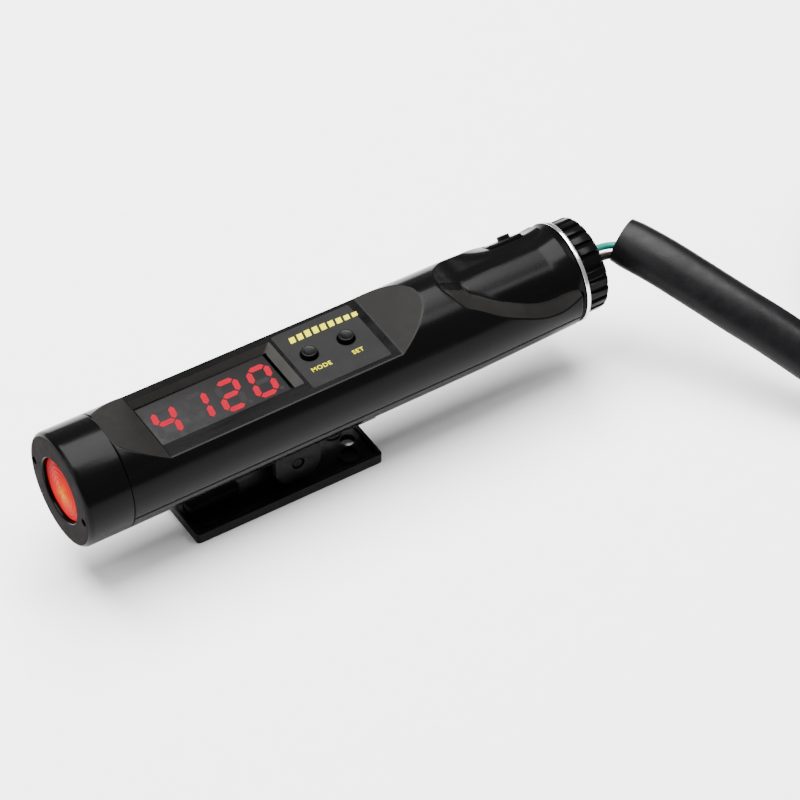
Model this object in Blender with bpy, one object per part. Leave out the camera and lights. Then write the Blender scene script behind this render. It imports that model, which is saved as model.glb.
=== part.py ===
"""Timing light: a round-bodied hand unit with a lens at one end, a four-digit
display and two keys on a flat panel, a pedestal mount underneath and a sleeved
lead at the tail.  Units: the tables below are in millimetres, and every mesh is
written in metres.  The barrel lies along X with its lens at -X, Z is up, and the
origin is the centre of the base plate's underside."""

import math

import bmesh
import bpy
from mathutils import Matrix, Vector

MM = 0.001
GAP = 0.3                     # running gap left between neighbouring solids

# Barrel
AXIS_Z = 23.5                 # height of the barrel's axis
BARREL_R = 12.0               # radius behind the panel, where the tail's taper begins
NOSE_R = 12.5                 # radius at the nose cap's front
NOSE_X = -48.9                # front face of the nose cap
SEAM_X = -38.5                # joint between nose cap and shells
TAIL_X = 69.5                 # rear end of the shells
TAIL_R = 11.35                # the shells' radius at their rear end
TAPER_X = 46.0                # where they begin to taper towards it
INSIDE_R = 10.4               # inside radius of the shells, and of the nose spigot
NECK_SEAT_R = 9.8             # their inside radius around the neck
PARTING_Z = AXIS_Z - 3.3      # joint between upper and lower shell
ROUND_SIDES = 56              # facets around the barrel

# Flat panel on the upper shell, heights above the barrel's axis
FLAT_H = 7.15
FLAT_X0 = -28.5
FLAT_X1 = 26.3
RAMP_X0 = -39.2
RAMP_X1 = 35.7
PANEL_T = 2.0                 # wall thickness under the flat

# Display window: low and high x, then low and high y
WINDOW_TOP = (-28.1, 4.7, -6.1, 8.0)
WINDOW_FLOOR = (-27.75, 3.15, -6.05, 7.45)
MODULE = (-27.35, 2.75, -5.75, 7.15)
LABEL = (5.7, 24.3, -8.4, 8.8)

# Keys
KEY_Y = 0.5
MODE_X = 10.0
SET_X = 18.8
KEY_R = 1.7
KEY_RISE = 1.2                # how far a key's top stands above the flat panel

# Main board, heights relative to the barrel's axis
BOARD_TOP = -2.2
BOARD_T = 1.6
BOARD_X0 = -29.0
BOARD_X1 = 30.0
BOARD_HALF = 8.3
BOARD_POST_X = 14.4
BOARD_POST_Y = 6.4

# Tail
NECK_R = 9.5
NECK_X0 = 38.6
COLLAR_X = 70.4
COLLAR_R = 11.2
CAP_X0 = 71.8
CAP_X1 = 77.2
CAP_R = 10.3
FLUTES = 24
NECK_SCREW_X = 57.0
FAR_SLOPE_LIFT = 2.5
NECK_SCREW_SWING = 32.0       # degrees from straight down, to either side
POWER_X = 62.0
POWER_ANGLE = math.radians(45.0)   # from straight up, towards +Y

# Pedestal
BASE_X = 22.3
BASE_Y = 8.0
BASE_H = 2.4
TRAY_Z = 1.5
RIM = 0.9
PIVOT_X = 3.55
PIVOT_Z = 7.2
LUG_R = 5.4
LUG_Y0 = 3.9
LUG_Y1 = 5.2
SADDLE_X0 = -22.0
SADDLE_X1 = 22.9
SADDLE_Y = 5.0
SADDLE_Z = 10.3
SADDLE_SCREW_X = (-15.0, 19.0)

# Lead: a sleeve over three wires, a coil on the table and a plug in its middle
SLEEVE_R = 4.5
WIRE_R = 0.75
MOUTH = Vector((86.5, -0.5, 25.5))
COIL_X = 171.6
COIL_Y = -38.5
COIL_TURN_R = 46.0            # radius of the outer turns


# Looks: colour, roughness, metallic
SHELL = ((0.012, 0.012, 0.013), 0.3, 0.0)
PANEL = ((0.03, 0.03, 0.032), 0.6, 0.0)
GREY = ((0.16, 0.16, 0.165), 0.5, 0.0)
RUBBER = ((0.015, 0.015, 0.016), 0.55, 0.0)
LENS = ((0.8, 0.03, 0.02), 0.1, 0.0)
CHROME = ((0.8, 0.8, 0.8), 0.12, 1.0)
METAL = ((0.45, 0.45, 0.46), 0.35, 1.0)
BOARD = ((0.02, 0.13, 0.05), 0.45, 0.0)
NYLON = ((0.75, 0.74, 0.7), 0.5, 0.0)
GREEN = ((0.0, 0.22, 0.17), 0.4, 0.0)
RED = ((0.5, 0.02, 0.02), 0.4, 0.0)


def linked(name, data, look):
    """Put a mesh or curve into the scene as a named object with its own material."""
    colour, roughness, metallic = look
    material = bpy.data.materials.new(name)
    material.use_nodes = True
    shader = material.node_tree.nodes["Principled BSDF"]
    shader.inputs["Base Color"].default_value = (*colour, 1.0)
    shader.inputs["Roughness"].default_value = roughness
    shader.inputs["Metallic"].default_value = metallic
    data.materials.append(material)
    obj = bpy.data.objects.new(name, data)
    bpy.context.collection.objects.link(obj)
    return obj


def finish(name, mesh, look, smooth=35.0):
    """Shade a mesh and put it into the scene."""
    mesh.shade_smooth()
    mesh.set_sharp_from_angle(angle=math.radians(smooth))
    return linked(name, mesh, look)


def to_mesh(name, bm):
    """Close, orient and scale a millimetre bmesh into a mesh in metres."""
    bmesh.ops.remove_doubles(bm, verts=bm.verts, dist=1e-5)
    bmesh.ops.recalc_face_normals(bm, faces=bm.faces)
    bmesh.ops.scale(bm, vec=(MM, MM, MM), verts=bm.verts)
    mesh = bpy.data.meshes.new(name)
    bm.to_mesh(mesh)
    bm.free()
    return mesh


def lathe_mesh(name, profile, origin, along="X", sides=48):
    """Turn a closed outline of (distance along the axis, radius) points."""
    bm = bmesh.new()
    rings = []
    for station, radius in profile:
        count = sides if radius > 0 else 1
        ring = []
        for k in range(count):
            turn = 2 * math.pi * k / sides
            point = Vector((station, radius * math.sin(turn), radius * math.cos(turn)))
            if along == "Z":
                point = Vector((point.y, point.z, point.x))
            elif along == "Y":
                point = Vector((point.z, point.x, point.y))
            ring.append(bm.verts.new(point + Vector(origin)))
        rings.append(ring)
    for ring, following in zip(rings, rings[1:] + rings[:1]):
        if len(ring) == 1 and len(following) == 1:
            continue
        for k in range(sides):
            corners = [
                ring[k % len(ring)],
                ring[(k + 1) % len(ring)],
                following[(k + 1) % len(following)],
                following[k % len(following)],
            ]
            bm.faces.new(list(dict.fromkeys(corners)))
    return to_mesh(name, bm)


def prism_mesh(name, outline, low, high, along="Z"):
    """Extrude an outline between two levels along an axis."""
    bm = bmesh.new()
    loops = []
    for level in (low, high):
        loop = []
        for a, b in outline:
            point = {"X": (level, a, b), "Y": (a, level, b), "Z": (a, b, level)}[along]
            loop.append(bm.verts.new(point))
        loops.append(loop)
    bottom, top = loops
    bm.faces.new(bottom)
    bm.faces.new(top)
    for k in range(len(outline)):
        following = (k + 1) % len(outline)
        bm.faces.new((bottom[k], bottom[following], top[following], top[k]))
    return to_mesh(name, bm)


def loft_mesh(name, sections):
    """Skin a row of sections that have the same number of points."""
    bm = bmesh.new()
    loops = [[bm.verts.new(point) for point in section] for section in sections]
    bm.faces.new(loops[0])
    bm.faces.new(loops[-1])
    for loop, following in zip(loops, loops[1:]):
        for k in range(len(loop)):
            other = (k + 1) % len(loop)
            bm.faces.new((loop[k], loop[other], following[other], following[k]))
    bmesh.ops.triangulate(bm, faces=bm.faces)
    return to_mesh(name, bm)


def box_mesh(name, x0, x1, y0, y1, z0, z1):
    return prism_mesh(name, [(x0, y0), (x1, y0), (x1, y1), (x0, y1)], z0, z1)


def arc(cx, cy, radius, start, stop, steps):
    """Points of an arc, angles in degrees."""
    points = []
    for k in range(steps + 1):
        turn = math.radians(start + (stop - start) * k / steps)
        points.append((cx + radius * math.cos(turn), cy + radius * math.sin(turn)))
    return points


def rounded_rectangle(x0, x1, y0, y1, radius, steps=3):
    corners = ((x1, y1, 0), (x0, y1, 90), (x0, y0, 180), (x1, y0, 270))
    points = []
    for x, y, start in corners:
        cx = x - math.copysign(radius, x - (x0 + x1) / 2)
        cy = y - math.copysign(radius, y - (y0 + y1) / 2)
        points += arc(cx, cy, radius, start, start + 90, steps)
    return points


def shape(obj, mesh, operation="DIFFERENCE"):
    """Cut a mesh out of an object, or join it on, with a Boolean modifier."""
    tool = bpy.data.objects.new(f"tool_{mesh.name}", mesh)
    bpy.context.collection.objects.link(tool)
    tool.hide_render = True
    tool.display_type = "WIRE"
    modifier = obj.modifiers.new(mesh.name, "BOOLEAN")
    modifier.operation = operation
    modifier.solver = "EXACT"
    modifier.object = tool
    return tool


def set_origin(obj, point):
    """Move an object's origin without moving its mesh in the world."""
    place = Vector(point) * MM
    obj.data.transform(Matrix.Translation(-place))
    obj.location = place


def smooth_route(points, spacing):
    """Even points along a smooth curve through the route's own points."""
    points = [Vector(point) for point in points]
    padded = [2 * points[0] - points[1]] + points + [2 * points[-1] - points[-2]]
    fine = []
    for before, start, stop, after in zip(padded, padded[1:], padded[2:], padded[3:]):
        for k in range(24):
            t = k / 24
            fine.append(
                0.5 * (2 * start + (stop - before) * t
                       + (2 * before - 5 * start + 4 * stop - after) * t ** 2
                       + (3 * start - before - 3 * stop + after) * t ** 3)
            )
    fine.append(points[-1])
    total = sum((b - a).length for a, b in zip(fine, fine[1:]))
    count = max(2, round(total / spacing))
    even = [fine[0]]
    walked = 0.0
    for a, b in zip(fine, fine[1:]):
        step = (b - a).length
        while len(even) < count and walked + step >= total * len(even) / count:
            even.append(a.lerp(b, (total * len(even) / count - walked) / step))
        walked += step
    even.append(fine[-1])
    return even


def tube(name, points, radius, spacing, look, resolution):
    """A round cord along a route, with flat ends."""
    curve = bpy.data.curves.new(name, "CURVE")
    curve.dimensions = "3D"
    curve.bevel_depth = radius * MM
    curve.bevel_resolution = resolution
    curve.use_fill_caps = True
    spline = curve.splines.new("POLY")
    even = smooth_route(points, spacing)
    spline.points.add(len(even) - 1)
    for place, point in zip(spline.points, even):
        place.co = (*(point * MM), 1.0)
    return linked(name, curve, look)


def gear_outline(teeth, outer, inner):
    """An outline of square teeth about the barrel's axis, as (y, z) points."""
    points = []
    for k in range(teeth):
        for share, radius in ((-0.28, outer), (0.28, outer), (0.36, inner), (0.64, inner)):
            turn = 2 * math.pi * (k + share) / teeth
            points.append((radius * math.sin(turn), AXIS_Z + radius * math.cos(turn)))
    return points


# --- Barrel shells -----------------------------------------------------------

def panel_prism(name, drop):
    """The space above the flat panel and its two ramps, lowered by a wall."""
    rise = 20.0
    front = (FLAT_X0 - RAMP_X0) / (BARREL_R - FLAT_H)
    rear = (RAMP_X1 - FLAT_X1) / (BARREL_R - FLAT_H)
    height = AXIS_Z + FLAT_H - drop
    outline = [
        (FLAT_X0, height),
        (FLAT_X1, height),
        (FLAT_X1 + rear * rise, height + rise),
        (FLAT_X0 - front * rise, height + rise),
    ]
    return prism_mesh(name, outline, -20, 20, along="Y")


def scoop(name):
    """The space above the hollow at the tail, as a loft of roof-shaped sections.

    Each row gives the station, then the roof's knee and a lower point on its slope.
    The slope on the power key's side lies higher.
    """
    rows = (
        (40.0, (1.0, 12.4), (8.0, 12.3)),
        (42.5, (1.0, 11.1), (6.5, 10.1)),
        (46.2, (1.3, 9.4), (8.8, 8.2)),
        (50.3, (0.7, 9.3), (10.5, 5.8)),
        (54.9, (0.7, 9.3), (11.5, 3.5)),
        (59.8, (2.0, 9.1), (11.9, 1.3)),
        (64.0, (3.0, 8.9), (12.0, 0.4)),
        (67.0, (2.8, 8.9), (12.0, 1.0)),
        (TAIL_X + 1, (2.6, 8.9), (11.8, 2.6)),
    )
    sections = []
    for x, (knee_y, knee_z), (low_y, low_z) in rows:
        slope = (knee_z - low_z) / (low_y - knee_y)
        far_y = 18.0
        far_z = low_z - slope * (far_y - low_y)
        raised_knee_y = min(knee_y + FAR_SLOPE_LIFT / slope, far_y - 1.0)
        raised_far_z = min(far_z + FAR_SLOPE_LIFT, knee_z)
        outline = [
            (far_y, raised_far_z), (raised_knee_y, knee_z), (-knee_y, knee_z), (-far_y, far_z),
            (-far_y, 24.0), (far_y, 24.0),
        ]
        sections.append([Vector((x, y, AXIS_Z + z)) for y, z in outline])
    return loft_mesh(name, sections)


def barrel_radius(x):
    """Radius of the barrel's gentle taper ahead of the tail."""
    return BARREL_R + (NOSE_R - BARREL_R) * (TAPER_X - x) / (TAPER_X - NOSE_X)


def shell_blank(name):
    """The outside of the body, solid: nose spigot, barrel and tapered tail."""
    profile = [
        (-43.0, 0), (-43.0, INSIDE_R), (SEAM_X + GAP, INSIDE_R), (SEAM_X + GAP, barrel_radius(SEAM_X + GAP)),
        (TAPER_X, BARREL_R), (TAIL_X, TAIL_R), (TAIL_X, 0),
    ]
    mesh = lathe_mesh(name, profile, (0, 0, AXIS_Z), sides=ROUND_SIDES)
    return finish(name, mesh, SHELL)


def hollow(body, under_panel):
    """Cut the inside out of a shell, leaving a wall under the flat panel."""
    profile = [
        (-44.0, 0), (-44.0, 8.9), (-37.0, 8.9), (-37.0, INSIDE_R), (38.0, INSIDE_R), (38.0, NECK_SEAT_R),
        (65.0, NECK_SEAT_R), (66.5, 9.95), (68.0, 10.3), (70.5, 11.1), (70.5, 0),
    ]
    mesh = lathe_mesh(f"{body.name}_inside", profile, (0, 0, AXIS_Z), sides=ROUND_SIDES - 6)
    tool = shape(body, mesh)
    if under_panel:
        shape(tool, panel_prism(f"{body.name}_ceiling", PANEL_T))


def frustum_mesh(name, floor, floor_z, top, top_z):
    """A tapered box between two rectangles given as (x0, x1, y0, y1)."""
    sections = []
    for (x0, x1, y0, y1), z in ((floor, floor_z), (top, top_z)):
        sections.append([(x0, y0, z), (x1, y0, z), (x1, y1, z), (x0, y1, z)])
    return loft_mesh(name, sections)


def post(body, name, x, y, radius, z0, z1):
    """Join a round post onto a body."""
    outline = arc(x, y, radius, 7, 352, 23)
    shape(body, prism_mesh(name, outline, z0, z1), "UNION")


def hole(body, name, x, y, radius, z0, z1):
    """Drill a vertical hole in a body."""
    outline = arc(x, y, radius, 4, 349, 23)
    shape(body, prism_mesh(name, outline, z0, z1))


def shells():
    upper = shell_blank("upper_shell")
    shape(upper, panel_prism("panel_space", 0))
    hollow(upper, True)
    shape(upper, box_mesh("below_parting", -60, 80, -20, 20, -5, PARTING_Z + GAP / 2))
    shape(upper, scoop("scoop"))
    pad_hole = box_mesh("power_pad_hole", POWER_X - 4.9, POWER_X + 3.9, -2.5, 2.5, 8.5, 15.0)
    pad_hole.transform(power_place())
    shape(upper, pad_hole)
    flat_z = AXIS_Z + FLAT_H
    for y in (-BOARD_POST_Y, BOARD_POST_Y):
        post(upper, f"board_post_{y}", BOARD_POST_X, y, 1.8, AXIS_Z + BOARD_TOP + GAP, flat_z - 1)
        hole(upper, f"board_thread_{y}", BOARD_POST_X, y, 1.0, AXIS_Z - 3, AXIS_Z + 3)
    above = [edge + (edge - base) for edge, base in zip(WINDOW_TOP, WINDOW_FLOOR)]
    shape(upper, frustum_mesh("window", WINDOW_FLOOR, flat_z - PANEL_T - 0.05, above, flat_z + PANEL_T))
    shape(upper, box_mesh("label_pocket", *grown(LABEL, GAP), flat_z - 0.6, flat_z + 2))
    for name, x in (("mode", MODE_X), ("set", SET_X)):
        hole(upper, f"{name}_hole", x, KEY_Y, KEY_R + 0.25, flat_z - 4, flat_z + 2)

    lower = shell_blank("lower_shell")
    hollow(lower, False)
    shape(lower, box_mesh("above_parting", -60, 80, -20, 20, PARTING_Z - GAP / 2, 60))
    for k, x in enumerate(SADDLE_SCREW_X):
        post(lower, f"saddle_post_{k}", x, 0, 2.6, AXIS_Z - 11.2, AXIS_Z - 7.4)
        hole(lower, f"saddle_thread_{k}", x, 0, 1.2, 5, AXIS_Z - 6)
    for k, side in enumerate((-1, 1)):
        mesh = lathe_mesh(f"neck_screw_hole_{k}", [(7, 0), (7, 1.3), (14, 1.3), (14, 0)],
                          (0, 0, 0), along="Z", sides=20)
        mesh.transform(neck_screw_place(side))
        shape(lower, mesh)


def grown(rectangle, by):
    x0, x1, y0, y1 = rectangle
    return x0 - by, x1 + by, y0 - by, y1 + by


def neck_screw_place(side):
    """Where a neck screw sits: its own +Z points out of the barrel, downwards."""
    turn = Matrix.Rotation(math.radians(180 + NECK_SCREW_SWING * side), 4, "X")
    return Matrix.Translation(Vector((NECK_SCREW_X, 0, AXIS_Z)) * MM) @ turn


# --- Nose --------------------------------------------------------------------

def nose():
    cap = [
        (NOSE_X, 7.0), (NOSE_X, 11.1), (NOSE_X + 0.4, 12.0), (NOSE_X + 1.3, NOSE_R),
        (SEAM_X, barrel_radius(SEAM_X)), (SEAM_X, 10.7), (NOSE_X + 2.3, 10.7), (NOSE_X + 2.3, 8.2),
        (NOSE_X + 1.2, 8.2), (NOSE_X + 1.2, 7.0),
    ]
    obj = finish("nose_cap", lathe_mesh("nose_cap", cap, (0, 0, AXIS_Z), sides=ROUND_SIDES), SHELL)
    for k, y in enumerate((-10.2, 10.2)):
        pin = lathe_mesh(f"spanner_hole_{k}", [(NOSE_X - 1, 0), (NOSE_X - 1, 0.6), (NOSE_X + 1.2, 0.6),
                                               (NOSE_X + 1.2, 0)], (0, y, AXIS_Z), sides=16)
        shape(obj, pin)
    glass = [
        (NOSE_X + 0.6, 0), (NOSE_X + 0.75, 3.0), (NOSE_X + 1.0, 6.6), (NOSE_X + 1.5, 6.6),
        (NOSE_X + 1.5, 7.9), (NOSE_X + 3.0, 7.9), (NOSE_X + 3.0, 0),
    ]
    finish("front_lens", lathe_mesh("front_lens", glass, (0, 0, AXIS_Z), sides=40), LENS)
    gasket = [(NOSE_X + 3.3, 6.9), (NOSE_X + 3.3, 8.1), (NOSE_X + 4.4, 8.1), (NOSE_X + 4.4, 6.9)]
    finish("lens_gasket", lathe_mesh("lens_gasket", gasket, (0, 0, AXIS_Z), sides=32), RUBBER)
    mirror = [
        (NOSE_X + 4.7, 7.6), (NOSE_X + 4.7, 8.1), (NOSE_X + 6.2, 7.4), (NOSE_X + 8.0, 5.6),
        (NOSE_X + 9.2, 2.9), (NOSE_X + 9.2, 2.2), (NOSE_X + 7.7, 4.8), (NOSE_X + 6.0, 6.8),
    ]
    finish("reflector", lathe_mesh("reflector", mirror, (0, 0, AXIS_Z), sides=32), CHROME)
    board_x = NOSE_X + 9.6
    emitter = [
        (board_x - 2.6, 0), (board_x - 2.4, 0.9), (board_x - 1.7, 1.6), (board_x - 0.3, 1.7),
        (board_x - 0.3, 0),
    ]
    finish("led_emitter", lathe_mesh("led_emitter", emitter, (0, 0, AXIS_Z), sides=24), LENS)
    disc = [(board_x, 0), (board_x, 8.3), (board_x + 1.2, 8.3), (board_x + 1.2, 0)]
    finish("led_board", lathe_mesh("led_board", disc, (0, 0, AXIS_Z), sides=32), BOARD)
    fins = prism_mesh("led_heat_sink", gear_outline(12, 7.0, 5.0), board_x + 1.5, board_x + 5.7, along="X")
    finish("led_heat_sink", fins, METAL)


# --- Panel, keys and electronics -----------------------------------------------

def panel():
    flat_z = AXIS_Z + FLAT_H
    label = finish("panel_label", box_mesh("panel_label", *LABEL, flat_z - 0.3, flat_z + 0.05), PANEL)
    for name, x in (("mode", MODE_X), ("set", SET_X)):
        hole(label, f"{name}_label_hole", x, KEY_Y, KEY_R + 0.35, flat_z - 2, flat_z + 2)
        key = [
            (3.5, 0), (3.5, 2.4), (4.5, 2.4), (4.5, KEY_R), (FLAT_H + KEY_RISE - 0.25, KEY_R),
            (FLAT_H + KEY_RISE, KEY_R - 0.3), (FLAT_H + KEY_RISE, 0),
        ]
        obj = finish(f"{name}_button", lathe_mesh(f"{name}_button", key, (x, KEY_Y, AXIS_Z), "Z", 28), SHELL)
        set_origin(obj, (x, KEY_Y, AXIS_Z + 3.5))
        base_z = AXIS_Z + BOARD_TOP + GAP
        switch = box_mesh(f"{name}_switch", x - 3, x + 3, KEY_Y - 3, KEY_Y + 3, base_z, base_z + 3.6)
        body = finish(f"{name}_switch", switch, METAL)
        post(body, f"{name}_plunger", x, KEY_Y, 1.2, base_z + 3, AXIS_Z + 2.8)
    finish("display_module", box_mesh("display_module", *MODULE, AXIS_Z + BOARD_TOP + GAP,
                                      flat_z - PANEL_T + 0.15), GREY)


def electronics():
    board_z = AXIS_Z + BOARD_TOP
    under = board_z - BOARD_T - GAP
    outline = rounded_rectangle(BOARD_X0, BOARD_X1, -BOARD_HALF, BOARD_HALF, 1.5)
    board = finish("main_board", prism_mesh("main_board", outline, board_z - BOARD_T, board_z), BOARD)
    for k, y in enumerate((-BOARD_POST_Y, BOARD_POST_Y)):
        hole(board, f"board_hole_{k}", BOARD_POST_X, y, 1.1, board_z - 4, board_z + 2)
        screw = [
            (under - 1.2, 0), (under - 1.2, 1.3), (under - 0.7, 1.6), (under, 1.6),
            (under, 0.7), (AXIS_Z + 2.4, 0.7), (AXIS_Z + 2.4, 0),
        ]
        name = f"board_screw_{k + 1}"
        finish(name, lathe_mesh(name, screw, (BOARD_POST_X, y, 0), "Z", 16), METAL)
    finish("controller_chip", box_mesh("controller_chip", -13, -2.7, -3.8, 3.8, under - 2.4, under), SHELL)
    regulator = box_mesh("voltage_regulator", -24.5, -18, -6.6, -1.8, under - 2.2, under)
    finish("voltage_regulator", regulator, SHELL)
    for k, x in enumerate((3.0, 9.0)):
        name = f"capacitor_{k + 1}"
        can = [(under - 4.6, 0), (under - 4.6, 2.2), (under - 4.3, 2.4), (under, 2.4), (under, 0)]
        finish(name, lathe_mesh(name, can, (x, 0, 0), "Z", 24), METAL)
    finish("wire_header", box_mesh("wire_header", 24, 29.6, -4.2, 4.2, under - 4.5, under), NYLON)
    start = NOSE_X + 11.4
    for name, y, look in (("led_wire_red", -1.9, RED), ("led_wire_black", 1.9, RUBBER)):
        route = [
            (start, y, AXIS_Z - 6.9), (start + 5, y, AXIS_Z - 7.0), (start + 9, y, AXIS_Z - 6.8),
            (start + 11.4, y * 1.05, AXIS_Z - 5.7), (start + 11.9, y * 1.05, under),
        ]
        tube(name, route, 0.45, 1.4, look, 2)
    route = [
        (30.5, 0, under - 2.6), (36, 0, AXIS_Z - 5.6), (42, 0.4, AXIS_Z - 2), (49.6, 0.8, AXIS_Z + 0.3),
    ]
    tube("inner_harness", route, 1.7, 4.0, RUBBER, 3)


# --- Tail --------------------------------------------------------------------

def tail():
    outer = [
        (NECK_X0, NECK_R), (65.2, NECK_R), (66.7, 9.65), (68.2, 9.95), (69.6, 10.45),
        (COLLAR_X, COLLAR_R), (COLLAR_X + 0.01, 8.8), (74.2, 8.8),
    ]
    inner = [(74.2, 4.6), (70.8, 4.6), (70.8, 6.9), (68.6, 6.9), (68.6, 8.0), (NECK_X0, 8.0)]
    neck_mesh = lathe_mesh("tail_neck", outer + inner, (0, 0, AXIS_Z), sides=ROUND_SIDES)
    neck = finish("tail_neck", neck_mesh, SHELL)
    pad = rounded_rectangle(POWER_X - 4.6, POWER_X + 3.6, -2.2, 2.2, 1.2)
    pad_mesh = prism_mesh("power_pad", pad, 9.0, 11.0)
    pad_mesh.transform(power_place())
    shape(neck, pad_mesh, "UNION")
    bore = prism_mesh("power_hole", arc(POWER_X, 0, 1.7, 0, 345, 23), 6, 13)
    bore.transform(power_place())
    shape(neck, bore)
    for k, side in enumerate((-1, 1)):
        drill = lathe_mesh(f"neck_thread_{k}", [(5, 0), (5, 0.9), (13, 0.9), (13, 0)], (0, 0, 0), "Z", 16)
        drill.transform(neck_screw_place(side))
        shape(neck, drill)
        name = f"neck_screw_{k + 1}"
        screw = lathe_mesh(name, [(7.0, 0), (7.0, 0.6), (9.85, 0.6), (9.85, 1.0), (11.2, 1.0), (11.2, 0)],
                           (0, 0, 0), "Z", 16)
        screw.transform(neck_screw_place(side))
        finish(name, screw, METAL)

    button = [(6.6, 0), (6.6, 2.1), (7.3, 2.1), (7.3, 1.4), (11.6, 1.4), (11.9, 1.15), (11.9, 0)]
    mesh = lathe_mesh("power_button", button, (POWER_X, 0, 0), "Z", 24)
    mesh.transform(power_place())
    obj = finish("power_button", mesh, SHELL)
    outward = Vector((0, math.sin(POWER_ANGLE), math.cos(POWER_ANGLE)))
    set_origin(obj, Vector((POWER_X, 0, AXIS_Z)) + outward * 6.6)
    switch = box_mesh("power_switch", POWER_X - 3, POWER_X + 3, -2.2, 2.2, 3.4, 5.8)
    switch.transform(power_place())
    finish("power_switch", switch, METAL)

    rim = COLLAR_R + 0.05
    ring = [(COLLAR_X + 0.3, 9.1), (COLLAR_X + 0.3, rim), (COLLAR_X + 1.1, rim), (COLLAR_X + 1.1, 9.1)]
    finish("trim_ring", lathe_mesh("trim_ring", ring, (0, 0, AXIS_Z), sides=ROUND_SIDES), CHROME)
    seal = [(74.5, 5.0), (74.5, 8.7), (75.2, 8.7), (75.2, 5.0)]
    washer = finish("gland_washer", lathe_mesh("gland_washer", seal, (0, 0, AXIS_Z), sides=32), RUBBER)
    set_origin(washer, (74.5, 0, AXIS_Z))
    cap_mesh = prism_mesh("tail_cap", gear_outline(FLUTES, CAP_R, CAP_R - 0.65), CAP_X0, CAP_X1, along="X")
    cap = finish("tail_cap", cap_mesh, SHELL)
    inside = [
        (CAP_X0 - 1, 0), (CAP_X0 - 1, 9.1), (75.5, 9.1), (75.5, 5.0), (CAP_X1 + 1, 5.0), (CAP_X1 + 1, 0),
    ]
    shape(cap, lathe_mesh("tail_cap_inside", inside, (0, 0, AXIS_Z), sides=40))
    set_origin(cap, (CAP_X0, 0, AXIS_Z))
    grommet = [
        (69.0, 2.8), (69.0, 6.6), (70.5, 6.6), (70.5, 4.2), (76.7, 4.2), (77.0, 3.9), (77.0, 2.8),
    ]
    finish("gland_grommet", lathe_mesh("gland_grommet", grommet, (0, 0, AXIS_Z), sides=32), RUBBER)


def power_place():
    """Turn a shape drawn over the axis, +Z up, to the power key's angle."""
    return Matrix.Translation(Vector((0, 0, AXIS_Z)) * MM) @ Matrix.Rotation(-POWER_ANGLE, 4, "X")


# --- Pedestal ------------------------------------------------------------------

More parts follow.
